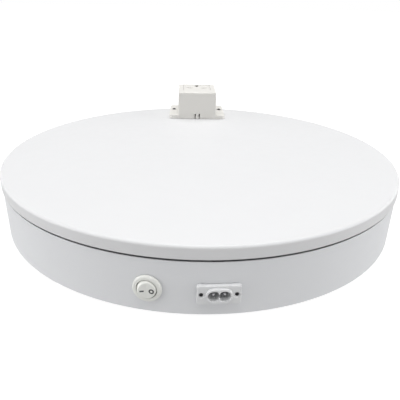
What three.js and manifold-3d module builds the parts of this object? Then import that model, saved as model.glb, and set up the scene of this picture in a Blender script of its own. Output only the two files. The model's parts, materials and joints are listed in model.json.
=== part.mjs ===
// Motorised display turntable: a mains-driven disc, 420 mm across, with a power outlet on its rear edge.
// Millimetres, +Z up. The origin is on the floor under the middle of the disc. The mains inlet faces -Y.

import * as THREE from 'three';
import { mergeVertices } from 'three/addons/utils/BufferGeometryUtils.js';
import Module from 'manifold-3d';

const wasm = await Module();
wasm.setup();

// ---------------------------------------------------------------- driving dimensions

const CLEARANCE = 0.3;             // gap between pieces that touch
const ROUND = 48;                  // segments of the large rings

const FOOT_HEIGHT = 3.2;
const BASE_RADIUS = 209;
const BASE_WALL = 3;
const BASE_BOTTOM = 3;             // lower edge of the wall
const BASE_TOP = 50.2;
const LIP_WIDTH = 1;               // thin lip round the top of the wall, outside the inward flange
const FLANGE_TOP = 45.2;
const WALL_SEAT = BASE_RADIUS + 0.05;  // flat seats in the wall, for the switch and the inlet
const COVER_BOTTOM = 3.5;
const COVER_TOP = 6.5;

const DISC_RADIUS = 210;
const DISC_BOTTOM = 51.6;          // the track ring and the hub boss end here
const SKIRT_BOTTOM = 52.2;         // the outer skirt ends here, just above the lip of the base
const DISC_TOP = 63.9;
const DISC_SKIN = 4;
const DISC_CEILING = DISC_TOP - DISC_SKIN;
const RIM_ROUNDING = 2.6;

const SWITCH_AZIMUTH = -14.7;      // degrees from -Y, towards -X
const SWITCH_HEIGHT = 24.8;
const INLET_HEIGHT = 23.6;
const OUTLET_AZIMUTH = -2.1;       // degrees from +Y, towards +X

const SCREW_BOSS_RADIUS = 199;     // cover screws sit on this circle
const SCREW_ANGLES = [22.5, 112.5, 202.5, 292.5];
const FOOT_CIRCLE = 185;
const ROLLER_CIRCLE = 170;
const ROLLER_ANGLES = [45, 135, 225, 315];
const ROLLER_RADIUS = 14;
const ROLLER_WIDTH = 9;
const AXLE_RADIUS = 2.5;
const AXLE_HEIGHT = DISC_BOTTOM - CLEARANCE - ROLLER_RADIUS;

const GEAR_MODULE = 2;
const GEAR_TEETH = 70;
const PINION_TEETH = 14;
const GEAR_BOTTOM = 37;
const GEAR_TOP = 45;
const WEB_BOTTOM = 39;
const WEB_TOP = 43;
const HUB_RADIUS = 22;
const HUB_BORE = 10.3;
const HUB_BOTTOM = 32.3;
const HUB_TOP = DISC_BOTTOM - CLEARANCE;
const GEAR_SCREW_CIRCLE = 57;
const GEAR_SCREW_ANGLES = [30, 150, 270];
const MOTOR_DISTANCE = (GEAR_MODULE * (GEAR_TEETH + PINION_TEETH)) / 2;
const MOTOR_RADIUS = 25;
const MOTOR_BOTTOM = 8;
const MOTOR_TOP = 30;
const MOTOR_EAR_SPACING = 60;

const BOSS_TOP = 13;               // spindle boss of the bottom cover
const NUT_RECESS_TOP = 9.2;
const SHOULDER_TOP = 22;           // the thrust bearing rests here
const POST_RADIUS = 9.85;
const CLIP_BOTTOM = 52.1;
const CLIP_THICKNESS = 1.1;
const RING_RADII = { live: 32.25, neutral: 42.25 };
const RING_WIDTH = 4.5;
const LEAD_HOLE_RADIUS = 45;       // the outlet lead rises through the gear web here
const LEAD_EXIT_RADIUS = 152;      // and through the disc here

const OUTLET_FRONT = 142;
const OUTLET_REAR = 205.5;
const OUTLET_HEIGHT = 36.8;        // above the disc
const OUTLET_WIDTH = 54;
const OUTLET_TOP_WIDTH = 53;
const OUTLET_WALL = 2.2;
const EAR_WIDTH = 78.6;
const EAR_THICKNESS = 4.8;
const EAR_SCREW_X = 33.3;
const EAR_SCREW_Y = 178;
const INSERT_WIDTH = 38.6;
const INSERT_FRONT = 163.2;
const INSERT_REAR = 202.4;
const OUTLET_BOTTOM = DISC_TOP + CLEARANCE;
const OUTLET_TOP = DISC_TOP + OUTLET_HEIGHT;

// ---------------------------------------------------------------- materials

function material(color, roughness, metalness = 0) {
  return new THREE.MeshStandardMaterial({ color, roughness, metalness });
}

const whiteShell = material(0xf3f3f3, 0.42);
const whiteFitting = material(0xe6e6e1, 0.38);
const outletPlastic = material(0xe4e2dc, 0.45);
const shutterPlastic = material(0xb9b7b1, 0.5);
const rubber = material(0x2a2a2b, 0.85);
const steel = material(0xb4b7ba, 0.32, 1);
const darkSteel = material(0x4a4b4d, 0.45, 1);
const brass = material(0xc8a45a, 0.3, 1);
const gearPlastic = material(0xece8dc, 0.4);
const phenolic = material(0x6b4a2c, 0.55);
const liveInsulation = material(0x7a4a2a, 0.5);
const neutralInsulation = material(0x2f5fa8, 0.5);
const greyInsulation = material(0xc9cacb, 0.5);

// ---------------------------------------------------------------- solids: joining and cutting

function toSolid(geometry) {
  const bare = geometry.clone();
  bare.deleteAttribute('normal');
  bare.deleteAttribute('uv');
  const merged = mergeVertices(bare, 1e-4);
  const corners = merged.index.array;
  const triVerts = [];
  for (let i = 0; i < corners.length; i += 3) {
    const [a, b, c] = corners.slice(i, i + 3);
    if (a !== b && b !== c && c !== a) triVerts.push(a, b, c);
  }
  const vertProperties = new Float32Array(merged.attributes.position.array);
  return new wasm.Manifold(
    new wasm.Mesh({ numProp: 3, vertProperties, triVerts: new Uint32Array(triVerts) }),
  );
}

function toGeometry(solid) {
  const mesh = solid.getMesh();
  const geometry = new THREE.BufferGeometry();
  geometry.setAttribute('position', new THREE.BufferAttribute(mesh.vertProperties, 3));
  geometry.setIndex(new THREE.BufferAttribute(mesh.triVerts, 1));
  geometry.computeVertexNormals();
  return geometry;
}

function join(...geometries) {
  return toGeometry(geometries.map(toSolid).reduce((sum, next) => sum.add(next)));
}

function cut(geometry, ...tools) {
  return toGeometry(tools.map(toSolid).reduce((rest, tool) => rest.subtract(tool), toSolid(geometry)));
}

function common(first, second) {
  return toGeometry(toSolid(first).intersect(toSolid(second)));
}

// ---------------------------------------------------------------- basic forms, upright along +Z

const radians = THREE.MathUtils.degToRad;

function box([x0, x1], [y0, y1], [z0, z1]) {
  const geometry = new THREE.BoxGeometry(x1 - x0, y1 - y0, z1 - z0);
  return geometry.translate((x0 + x1) / 2, (y0 + y1) / 2, (z0 + z1) / 2);
}

function cylinder(radius, z0, z1, segments = 16) {
  const geometry = new THREE.CylinderGeometry(radius, radius, z1 - z0, segments);
  return geometry.rotateX(Math.PI / 2).translate(0, 0, (z0 + z1) / 2);
}

// Turns a profile of [radius, z] points about +Z.
function lathe(profile, segments = ROUND) {
  const points = profile.map(([radius, z]) => new THREE.Vector2(radius, z));
  if (THREE.ShapeUtils.area(points) < 0) points.reverse();
  return new THREE.LatheGeometry(points, segments).rotateX(Math.PI / 2);
}

// A ring of rectangular section.
function ring(inner, outer, z0, z1, segments = 24) {
  return lathe([[inner, z0], [outer, z0], [outer, z1], [inner, z1], [inner, z0]], segments);
}

// Extrudes an outline of [x, y] points from z0 to z1.
function prism(outline, z0, z1) {
  const shape = new THREE.Shape(outline.map(([x, y]) => new THREE.Vector2(x, y)));
  const geometry = new THREE.ExtrudeGeometry(shape, { depth: z1 - z0, bevelEnabled: false });
  return geometry.translate(0, 0, z0);
}

// Points along an arc, angles in degrees.
function arc(x, y, radius, from, to, steps) {
  return Array.from({ length: steps + 1 }, (_, i) => {
    const angle = radians(from + ((to - from) * i) / steps);
    return [x + radius * Math.cos(angle), y + radius * Math.sin(angle)];
  });
}

function roundedRectangle(width, height, radius, steps = 3) {
  const x = width / 2 - radius;
  const y = height / 2 - radius;
  return [
    ...arc(x, y, radius, 0, 90, steps),
    ...arc(-x, y, radius, 90, 180, steps),
    ...arc(-x, -y, radius, 180, 270, steps),
    ...arc(x, -y, radius, 270, 360, steps),
  ];
}

function tube(points, radius, steps) {
  const path = new THREE.CatmullRomCurve3(points.map((point) => new THREE.Vector3(...point)));
  const section = new THREE.Shape();
  section.absarc(0, 0, radius, 0, 2 * Math.PI);
  return new THREE.ExtrudeGeometry(section, { steps, extrudePath: path, curveSegments: 3 });
}

// Turns a form that was made upright so that its +Z points out of the wall, along -Y.
function facingOut(geometry) {
  return geometry.rotateX(Math.PI / 2);
}

function polar(radius, degrees, z) {
  return [radius * Math.cos(radians(degrees)), radius * Math.sin(radians(degrees)), z];
}

// ---------------------------------------------------------------- scene graph

const turntable = new THREE.Group();

function piece(parent, name, geometry, finish) {
  const mesh = new THREE.Mesh(toGeometry(toSolid(geometry)), finish);
  mesh.name = name;
  parent.add(mesh);
  return mesh;
}

function turnedGroup(degrees) {
  const group = new THREE.Group();
  group.rotation.z = radians(degrees);
  turntable.add(group);
  return group;
}

const switchSide = turnedGroup(SWITCH_AZIMUTH);
const outletSide = turnedGroup(OUTLET_AZIMUTH);

// Fasteners, all pointing up: the head is at the bottom, and the shaft ends at z = length.
function panScrew(headRadius, headHeight, shaftRadius, length) {
  const profile = [
    [0, 0],
    [headRadius - 0.6, 0],
    [headRadius, 0.7],
    [headRadius, headHeight],
    [shaftRadius, headHeight],
    [shaftRadius, length - shaftRadius],
    [0, length],
  ];
  const slot = box([-headRadius, headRadius], [-0.4, 0.4], [-1, 0.8]);
  return cut(lathe(profile, 8), slot);
}

function countersunkScrew(headRadius, shaftRadius, length) {
  const profile = [
    [0, 0],
    [headRadius, 0],
    [headRadius, 0.3],
    [shaftRadius, 0.3 + headRadius - shaftRadius],
    [shaftRadius, length - shaftRadius],
    [0, length],
  ];
  const bladeLength = headRadius * 0.65;
  const slot = box([-bladeLength, bladeLength], [-0.4, 0.4], [-1, 0.9]);
  const cross = box([-0.4, 0.4], [-bladeLength, bladeLength], [-1, 0.9]);
  return cut(lathe(profile, 10), slot, cross);
}

// The hole that a countersunk screw sits in, 0.3 mm larger all round.
function countersink(headRadius, shaftRadius, length) {
  const grown = CLEARANCE * 1.2;
  return lathe([
    [0, -1],
    [headRadius + grown, -1],
    [headRadius + grown, 0.5],
    [shaftRadius + grown, 0.5 + headRadius - shaftRadius],
    [shaftRadius + grown, length],
    [0, length],
  ], 10);
}

// ---------------------------------------------------------------- base shell and bottom cover

const INLET_FLANGE = { width: 33.4, height: 16.4, thickness: 3 };
const INLET_BODY = { width: 21.6, height: 12.6 };
const INLET_SCREW_X = 13.4;
const INLET_SCREW = { head: 1.5, shaft: 1, depth: 0.9 };  // the head sits this deep in its countersink
const SWITCH_BEZEL_RADIUS = 11.5;
const SWITCH_BARREL_RADIUS = 9.9;

function makeBaseShell() {
  const inner = BASE_RADIUS - BASE_WALL;
  const flangeInner = 196;
  const flangeBottom = FLANGE_TOP - 2.5;
  const lipInner = BASE_RADIUS - LIP_WIDTH;
  const edge = 0.8;
  const lipEdge = 0.3;
  const wall = lathe([
    [inner, BASE_BOTTOM],
    [BASE_RADIUS - edge, BASE_BOTTOM],
    [BASE_RADIUS, BASE_BOTTOM + edge],
    [BASE_RADIUS, BASE_TOP - lipEdge],
    [BASE_RADIUS - lipEdge, BASE_TOP],
    [lipInner, BASE_TOP],
    [lipInner, FLANGE_TOP],
    [flangeInner, FLANGE_TOP],
    [flangeInner, flangeBottom],
    [inner, flangeBottom],
    [inner, BASE_BOTTOM],
  ]);
  const bosses = SCREW_ANGLES.map((angle) => {
    const post = cylinder(5, COVER_TOP + CLEARANCE, flangeBottom + 1, 8).translate(SCREW_BOSS_RADIUS, 0, 0);
    const web = box([SCREW_BOSS_RADIUS, inner + 1], [-1.5, 1.5], [COVER_TOP + CLEARANCE, flangeBottom + 1]);
    const pilot = cylinder(1.9, 0, 24, 8).translate(SCREW_BOSS_RADIUS, 0, 0);
    return cut(join(post, web), pilot).rotateZ(radians(angle));
  });
  const seatBack = WALL_SEAT - BASE_WALL - 1.5;
  const inletSeat = box([-18, 18], [-WALL_SEAT, -seatBack], [INLET_HEIGHT - 9.5, INLET_HEIGHT + 9.5]);
  const switchSeat = facingOut(cylinder(12.5, seatBack, WALL_SEAT, 24))
    .translate(0, 0, SWITCH_HEIGHT)
    .rotateZ(radians(SWITCH_AZIMUTH));
  const inletHole = box(
    [-INLET_BODY.width / 2 - CLEARANCE, INLET_BODY.width / 2 + CLEARANCE],
    [-BASE_RADIUS - 5, -BASE_RADIUS + 10],
    [INLET_HEIGHT - INLET_BODY.height / 2 - CLEARANCE, INLET_HEIGHT + INLET_BODY.height / 2 + CLEARANCE],
  );
  const screwHoles = [-1, 1].map((side) =>
    facingOut(cylinder(INLET_SCREW.shaft + 0.4, 195, 215, 8))
      .translate(side * INLET_SCREW_X, 0, INLET_HEIGHT));
  const switchHole = facingOut(cylinder(SWITCH_BARREL_RADIUS + CLEARANCE, 195, 215, 24))
    .translate(0, 0, SWITCH_HEIGHT)
    .rotateZ(radians(SWITCH_AZIMUTH));
  return cut(join(wall, ...bosses, inletSeat, switchSeat), inletHole, switchHole, ...screwHoles);
}

// Two plates that hold a roller axle between them, at a distance x along local +X.
function makeFork() {
  const plateThickness = 3;
  const side = 0.8 + ROLLER_WIDTH / 2;
  const foot = COVER_TOP - 1;
  const outline = [[-9, foot], [9, foot], ...arc(0, AXLE_HEIGHT, 6, 0, 180, 5)];
  const shape = new THREE.Shape(outline.map(([y, z]) => new THREE.Vector2(y, z)));
  const bore = new THREE.Path();
  bore.absarc(0, AXLE_HEIGHT, AXLE_RADIUS + CLEARANCE, 0, 2 * Math.PI, true);
  shape.holes.push(bore);
  const settings = { depth: plateThickness, bevelEnabled: false, curveSegments: 5 };
  return [-side - plateThickness, side].map((offset) => {
    const plate = new THREE.ExtrudeGeometry(shape, settings);
    plate.rotateX(Math.PI / 2).rotateZ(Math.PI / 2);
    return plate.translate(ROLLER_CIRCLE + offset, 0, 0);
  });
}

function makeBottomCover() {
  const outer = BASE_RADIUS - BASE_WALL - CLEARANCE;
  const plate = cylinder(outer, COVER_BOTTOM, COVER_TOP, ROUND);
  const boss = cylinder(30, COVER_TOP - 1, BOSS_TOP, 24);
  const stemHole = cylinder(6.5, COVER_BOTTOM - 1, BOSS_TOP + 1, 16);
  const nutRecess = cylinder(14, COVER_BOTTOM - 1, NUT_RECESS_TOP, 16);
  const forks = ROLLER_ANGLES.flatMap((angle) => makeFork().map((side) => side.rotateZ(radians(angle))));
  const motorPosts = [-1, 1].map((side) => {
    const post = cylinder(4, COVER_TOP - 1, MOTOR_TOP - 1 - CLEARANCE, 8);
    const pilot = cylinder(1.9, COVER_TOP + 4, MOTOR_TOP, 8);
    return cut(post, pilot).translate(MOTOR_DISTANCE, (side * MOTOR_EAR_SPACING) / 2, 0);
  });
  const screwHoles = SCREW_ANGLES.map((angle) =>
    countersink(3, 1.5, 6).translate(SCREW_BOSS_RADIUS, 0, COVER_BOTTOM).rotateZ(radians(angle)));
  const vents = [-16, -8, 0, 8, 16].map((y) =>
    box([MOTOR_DISTANCE - 15, MOTOR_DISTANCE + 15], [y - 1.7, y + 1.7], [0, COVER_TOP + 1]));
  return cut(join(plate, boss, ...forks, ...motorPosts), stemHole, nutRecess, ...screwHoles, ...vents);
}

function makeFoot() {
  return lathe([[0, 0], [6.8, 0], [7.6, 0.8], [8, FOOT_HEIGHT], [0, FOOT_HEIGHT]], 16);
}

piece(turntable, 'base_shell', makeBaseShell(), whiteShell);
piece(turntable, 'bottom_cover', makeBottomCover(), whiteShell);
ROLLER_ANGLES.forEach((angle, i) => {
  const foot = piece(turntable, `foot_${i + 1}`, makeFoot(), rubber);
  foot.position.set(...polar(FOOT_CIRCLE, angle, 0));
});
SCREW_ANGLES.forEach((angle, i) => {
  const screw = piece(turntable, `cover_screw_${i + 1}`, countersunkScrew(3, 1.5, 18), steel);
  screw.position.set(...polar(SCREW_BOSS_RADIUS, angle, COVER_BOTTOM));
});

// ---------------------------------------------------------------- rollers under the disc edge

function makeRollerWheel() {
  const half = ROLLER_WIDTH / 2;
  const bore = AXLE_RADIUS + CLEARANCE;
  return lathe([
    [bore, -half],
    [ROLLER_RADIUS - 1, -half],
    [ROLLER_RADIUS, -half + 1],
    [ROLLER_RADIUS, half - 1],
    [ROLLER_RADIUS - 1, half],
    [bore, half],
    [bore, -half],
  ], 20);
}

ROLLER_ANGLES.forEach((angle, i) => {
  const station = turnedGroup(angle);
  const wheel = piece(station, `roller_wheel_${i + 1}`, makeRollerWheel().rotateY(Math.PI / 2), gearPlastic);
  const pin = cylinder(AXLE_RADIUS, -9, 9, 12).rotateY(Math.PI / 2);
  const axle = piece(station, `roller_axle_${i + 1}`, pin, steel);
  wheel.position.set(ROLLER_CIRCLE, 0, AXLE_HEIGHT);
  axle.position.set(ROLLER_CIRCLE, 0, AXLE_HEIGHT);
});

// ---------------------------------------------------------------- spindle and thrust bearing

function makeSpindle() {
  const groove = POST_RADIUS - 1.6;
  return lathe([
    [0, 4],
    [6, 4],
    [6, BOSS_TOP + CLEARANCE],
    [28, BOSS_TOP + CLEARANCE],
    [28, BOSS_TOP + 3.3],
    [18, BOSS_TOP + 3.3],
    [18, SHOULDER_TOP],
    [POST_RADIUS, SHOULDER_TOP],
    [POST_RADIUS, CLIP_BOTTOM - CLEARANCE],
    [groove, CLIP_BOTTOM - CLEARANCE],
    [groove, CLIP_BOTTOM + CLIP_THICKNESS + CLEARANCE],
    [POST_RADIUS, CLIP_BOTTOM + CLIP_THICKNESS + CLEARANCE],
    [POST_RADIUS, 56],
    [POST_RADIUS - 1, 57],
    [0, 57],
  ], 20);
}

function makeSpindleNut() {
  const acrossFlats = 19;
  const hexagon = arc(0, 0, acrossFlats / Math.sqrt(3), 0, 300, 5);
  return cut(prism(hexagon, 3.7, 8.9), cylinder(6.3, 3, 10, 16));
}

function makeBallCage() {
  const ballCircle = 13.75;
  const ballRadius = 2.4;
  const balls = Array.from({ length: 10 }, (_, i) => {
    const ball = new THREE.SphereGeometry(ballRadius, 8, 5).rotateX(Math.PI / 2);
    return ball.translate(...polar(ballCircle, i * 36, 0));
  });
  return join(ring(11.4, 16.2, -1, 1), ...balls);
}

function makeRetainingClip() {
  const plain = ring(POST_RADIUS - 1.3, 13.5, 0, CLIP_THICKNESS, 24);
  return cut(plain, box([0, 20], [-6.2, 6.2], [-1, 3]));
}

piece(turntable, 'spindle', makeSpindle(), steel);
piece(turntable, 'spindle_nut', makeSpindleNut(), steel);
piece(turntable, 'bearing_lower_washer', ring(10.2, 17.5, 22.3, 24.5), steel);
piece(turntable, 'bearing_cage', makeBallCage(), brass).position.z = 27.1;
piece(turntable, 'bearing_upper_washer', ring(10.2, 17.5, 29.7, 32), steel);
piece(turntable, 'retaining_clip', makeRetainingClip(), steel).position.z = CLIP_BOTTOM;

// ---------------------------------------------------------------- gear drive

const GEAR_BACKLASH = 0.3;
const PRESSURE_ANGLE = radians(20);
const ADDENDUM = 0.8 * GEAR_MODULE;
const DEDENDUM = 1.05 * GEAR_MODULE;

function involute(angle) {
  return Math.tan(angle) - angle;
}

// Outline of a spur gear with one tooth centred on +X. The flanks pass through the given heights,
// which are measured from the pitch circle.
function gearOutline(teeth, flankHeights) {
  const pitchRadius = (GEAR_MODULE * teeth) / 2;
  const baseRadius = pitchRadius * Math.cos(PRESSURE_ANGLE);
  const halfAngle = Math.PI / (2 * teeth) - GEAR_BACKLASH / (2 * pitchRadius);
  const flank = flankHeights.map((height) => {
    const radius = pitchRadius + height;
    const pressure = Math.acos(Math.min(1, baseRadius / radius));
    return { radius, offset: halfAngle + involute(PRESSURE_ANGLE) - involute(pressure) };
  });
  const corner = (centre, side) => ({ radius, offset }) => [
    radius * Math.cos(centre + side * offset),
    radius * Math.sin(centre + side * offset),
  ];
  return Array.from({ length: teeth }, (_, i) => {
    const centre = (2 * Math.PI * i) / teeth;
    return [...flank.map(corner(centre, -1)), ...[...flank].reverse().map(corner(centre, 1))];
  }).flat();
}

function makeDriveGear() {
  const toothed = prism(gearOutline(GEAR_TEETH, [-DEDENDUM, ADDENDUM]), GEAR_BOTTOM, GEAR_TOP);
  const rimInner = 62.5;
  const lowerRecess = ring(HUB_RADIUS, rimInner, GEAR_BOTTOM - 1, WEB_BOTTOM, 28);
  const upperRecess = ring(HUB_RADIUS, rimInner, WEB_TOP, GEAR_TOP + 1, 28);
  const hub = cylinder(HUB_RADIUS, HUB_BOTTOM, HUB_TOP, 28);
  const bore = cylinder(HUB_BORE, HUB_BOTTOM - 1, HUB_TOP + 1, 20);
  const screwHoles = GEAR_SCREW_ANGLES.map((angle) =>
    cylinder(2, WEB_BOTTOM - 1, WEB_TOP + 1, 8).translate(...polar(GEAR_SCREW_CIRCLE, angle, 0)));
  const leadHole = cylinder(4, WEB_BOTTOM - 1, WEB_TOP + 1, 8)
    .translate(...polar(LEAD_HOLE_RADIUS, 90 + OUTLET_AZIMUTH, 0));
  return cut(join(cut(toothed, lowerRecess, upperRecess), hub), bore, leadHole, ...screwHoles);
}

function makePinion() {
  const flank = [-DEDENDUM, -0.42 * GEAR_MODULE, 0, 0.4 * GEAR_MODULE, ADDENDUM];
  const toothed = prism(gearOutline(PINION_TEETH, flank), GEAR_BOTTOM - 0.4, GEAR_TOP + 0.4);
  return cut(toothed, cylinder(3.8, GEAR_BOTTOM - 1, GEAR_TOP + 1, 16)).rotateZ(Math.PI / PINION_TEETH);
}

function makeMotor() {
  const earReach = MOTOR_EAR_SPACING / 2;
  const can = lathe([
    [0, MOTOR_BOTTOM],
    [MOTOR_RADIUS - 1, MOTOR_BOTTOM],
    [MOTOR_RADIUS, MOTOR_BOTTOM + 1],
    [MOTOR_RADIUS, MOTOR_TOP],
    [8, MOTOR_TOP],
    [8, MOTOR_TOP + 3],
    [3.5, MOTOR_TOP + 3],
    [3.5, GEAR_TOP + 0.7],
    [0, GEAR_TOP + 0.7],
  ], 24);
  const earOutline = [...arc(0, earReach, 5, 0, 180, 6), ...arc(0, -earReach, 5, 180, 360, 6)];
  const ears = prism(earOutline, MOTOR_TOP - 1, MOTOR_TOP);
  const holes = [-1, 1].map((side) =>
    cylinder(2.2, MOTOR_TOP - 2, MOTOR_TOP + 1, 12).translate(0, side * earReach, 0));
  return cut(join(can, ears), ...holes);
}

piece(turntable, 'drive_gear', makeDriveGear(), gearPlastic);
piece(turntable, 'motor_pinion', makePinion(), steel).position.x = MOTOR_DISTANCE;
piece(turntable, 'motor', makeMotor(), steel).position.x = MOTOR_DISTANCE;
[-1, 1].forEach((side, i) => {
  const screw = piece(turntable, `motor_screw_${i + 1}`, panScrew(3.4, 2, 1.5, 18), darkSteel);
  screw.position.set(MOTOR_DISTANCE, (side * MOTOR_EAR_SPACING) / 2, MOTOR_TOP + CLEARANCE + 2);
  screw.rotation.x = Math.PI;
});
GEAR_SCREW_ANGLES.forEach((angle, i) => {
  const screw = piece(turntable, `gear_screw_${i + 1}`, panScrew(3.2, 2, 1.5, 16), darkSteel);
  screw.position.set(...polar(GEAR_SCREW_CIRCLE, angle, WEB_BOTTOM - CLEARANCE - 2));
});

// ---------------------------------------------------------------- slip ring and brushes

const CARRIER_BOTTOM = 33.3;
const CARRIER_TOP = 36;
const RING_BOTTOM = 32.6;
const RING_TOP = 34.2;
const BLOCK_TOP = 24;
const BLOCK = { x: [-50, -26], y: [22, 40] };

function makeSlipRingCarrier() {
  const grooves = Object.values(RING_RADII).map((radius) => {
    const half = RING_WIDTH / 2 + CLEARANCE;
    return ring(radius - half, radius + half, CARRIER_BOTTOM - 1, RING_TOP + CLEARANCE, 28);
  });
  const standoffs = GEAR_SCREW_ANGLES.map((angle) =>
    cylinder(3, CARRIER_TOP - 0.5, WEB_BOTTOM - CLEARANCE, 8).translate(...polar(37, angle, 0)));
  const plate = ring(HUB_RADIUS + 0.5, 50, CARRIER_BOTTOM, CARRIER_TOP, 28);
  return join(cut(plate, ...grooves), ...standoffs);
}

function makeBrushFinger(x) {
  const half = 2;
  const thickness = 0.6;
  const seat = BLOCK_TOP + CLEARANCE;
  const contact = RING_BOTTOM - CLEARANCE - thickness;
  const lower = [[36, seat], [21, seat], [3, contact], [0, contact], [-3, contact - 2]];
  const upper = [...lower].reverse().map(([y, z]) => [y, z + thickness]);
  const strip = prism([...lower, ...upper], -half, half);
  return strip.rotateX(Math.PI / 2).rotateZ(Math.PI / 2).translate(x, 0, 0);
}

function makeBrushBlock() {
  const block = box(BLOCK.x, BLOCK.y, [COVER_TOP + CLEARANCE, BLOCK_TOP]);
  const divider = box([-38, -36.5], [24, 38], [BLOCK_TOP - 1, BLOCK_TOP + 4]);
  return join(block, divider);
}

piece(turntable, 'slip_ring_carrier', makeSlipRingCarrier(), phenolic);
piece(turntable, 'brush_block', makeBrushBlock(), phenolic);
for (const [pole, radius] of Object.entries(RING_RADII)) {
  const half = RING_WIDTH / 2;
  const contactRing = ring(radius - half, radius + half, RING_BOTTOM, RING_TOP, 28);
  piece(turntable, `slip_ring_${pole}`, contactRing, brass);
  piece(turntable, `brush_finger_${pole}`, makeBrushFinger(-radius), brass);
}

// ---------------------------------------------------------------- disc

function makeDisc() {
  const trackInner = ROLLER_CIRCLE - 5;
  const trackOuter = ROLLER_CIRCLE + 5;
  const skirtInner = DISC_RADIUS - 3.5;
  const hubBoss = ring(16, HUB_RADIUS, DISC_BOTTOM, DISC_CEILING + 1);
  const rounding = DISC_RADIUS - RIM_ROUNDING;
  const body = lathe([
    [0, DISC_CEILING],
    [trackInner, DISC_CEILING],
    [trackInner, DISC_BOTTOM],
    [trackOuter, DISC_BOTTOM],
    [trackOuter, DISC_CEILING],
    [skirtInner, DISC_CEILING],
    [skirtInner, SKIRT_BOTTOM],
    [DISC_RADIUS - 0.8, SKIRT_BOTTOM],
    [DISC_RADIUS, SKIRT_BOTTOM + 0.8],
    ...arc(rounding, DISC_TOP - RIM_ROUNDING, RIM_ROUNDING, 0, 90, 3),
    [0, DISC_TOP],
  ]);
  const ribs = [0, 60, 120, 180, 240, 300].map((angle) =>
    box([HUB_RADIUS - 1, trackInner + 1], [-1, 1], [DISC_CEILING - 5, DISC_CEILING + 1])
      .rotateZ(radians(angle)));
  const gearBosses = GEAR_SCREW_ANGLES.map((angle) => {
    const boss = cylinder(4.5, WEB_TOP + CLEARANCE, DISC_CEILING + 1, 8);
    return boss.translate(...polar(GEAR_SCREW_CIRCLE, angle, 0));
  });
  const gearPilots = GEAR_SCREW_ANGLES.map((angle) =>
    cylinder(1.9, WEB_TOP - 1, 56, 8).translate(...polar(GEAR_SCREW_CIRCLE, angle, 0)));
  const earBosses = [];
  const holes = [cylinder(3.6, DISC_CEILING - 1, DISC_TOP + 1, 12).translate(0, LEAD_EXIT_RADIUS, 0)];
  for (const side of [-1, 1]) {
    earBosses.push(cylinder(4.5, 54, DISC_CEILING + 1, 8).translate(side * EAR_SCREW_X, EAR_SCREW_Y, 0));
    holes.push(cylinder(1.9, 50, DISC_TOP + 1, 8).translate(side * EAR_SCREW_X, EAR_SCREW_Y, 0));
  }
  const turn = radians(OUTLET_AZIMUTH);
  const outletBosses = earBosses.map((boss) => boss.rotateZ(turn));
  const outletHoles = holes.map((hole) => hole.rotateZ(turn));
  return cut(join(body, hubBoss, ...ribs, ...gearBosses, ...outletBosses), ...gearPilots, ...outletHoles);
}

piece(turntable, 'disc', makeDisc(), whiteShell);

// ---------------------------------------------------------------- outlet on the rear edge of the disc

const PIN_SLOT = { width: 9, depth: 5.2, x: 10.4, y: 181, tilt: 18 };
const EARTH_SLOT = { width: 5, depth: 10, y: 195 };
const INSERT_THICKNESS = 3;
const SHUTTER_DEPTH = 8.8;

function outletWalls(width, topWidth, front, rear, z0, z1) {
  const bottom = width / 2;
  const top = topWidth / 2;
  const trapezoid = [[-bottom, z0], [bottom, z0], [top, z1], [-top, z1]];
  return prism(trapezoid, -rear, -front).rotateX(Math.PI / 2);
}

function makeOutletCover() {
  const wall = OUTLET_WALL;
  const chamfer = 3;
  const halfEar = EAR_WIDTH / 2;
  const earOutline = [
    [-halfEar, OUTLET_FRONT + chamfer], [-halfEar + chamfer, OUTLET_FRONT],
    [halfEar - chamfer, OUTLET_FRONT], [halfEar, OUTLET_FRONT + chamfer],
    [halfEar, OUTLET_REAR - chamfer], [halfEar - chamfer, OUTLET_REAR],
    [-halfEar + chamfer, OUTLET_REAR], [-halfEar, OUTLET_REAR - chamfer],
  ];
  const ears = prism(earOutline, OUTLET_BOTTOM, OUTLET_BOTTOM + EAR_THICKNESS);
  const body = outletWalls(
    OUTLET_WIDTH, OUTLET_TOP_WIDTH, OUTLET_FRONT, OUTLET_REAR, OUTLET_BOTTOM, OUTLET_TOP);
  const hollow = outletWalls(
    OUTLET_WIDTH - 2 * wall, OUTLET_TOP_WIDTH - 2 * wall, OUTLET_FRONT + wall, OUTLET_REAR - wall,
    OUTLET_BOTTOM - 1, OUTLET_TOP - wall);
  const topOpening = box(
    [-INSERT_WIDTH / 2 - CLEARANCE, INSERT_WIDTH / 2 + CLEARANCE],
    [INSERT_FRONT - CLEARANCE, INSERT_REAR + CLEARANCE],
    [OUTLET_TOP - wall - 1, OUTLET_TOP + 1]);
  const tabSlits = [-1, 1].map((side) =>
    box([side * 2.9 - 0.8, side * 2.9 + 0.8], [OUTLET_FRONT - 1, OUTLET_FRONT + wall + 1],
      [OUTLET_BOTTOM - 1, OUTLET_BOTTOM + 7]));
  const screwSlots = [-1, 1].map((side) =>
    prism(roundedRectangle(7.6, 3.6, 1.7), OUTLET_BOTTOM - 1, OUTLET_BOTTOM + EAR_THICKNESS + 1)
      .translate(side * EAR_SCREW_X, EAR_SCREW_Y, 0));
  return cut(join(body, ears), hollow, topOpening, ...tabSlits, ...screwSlots);
}

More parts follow.
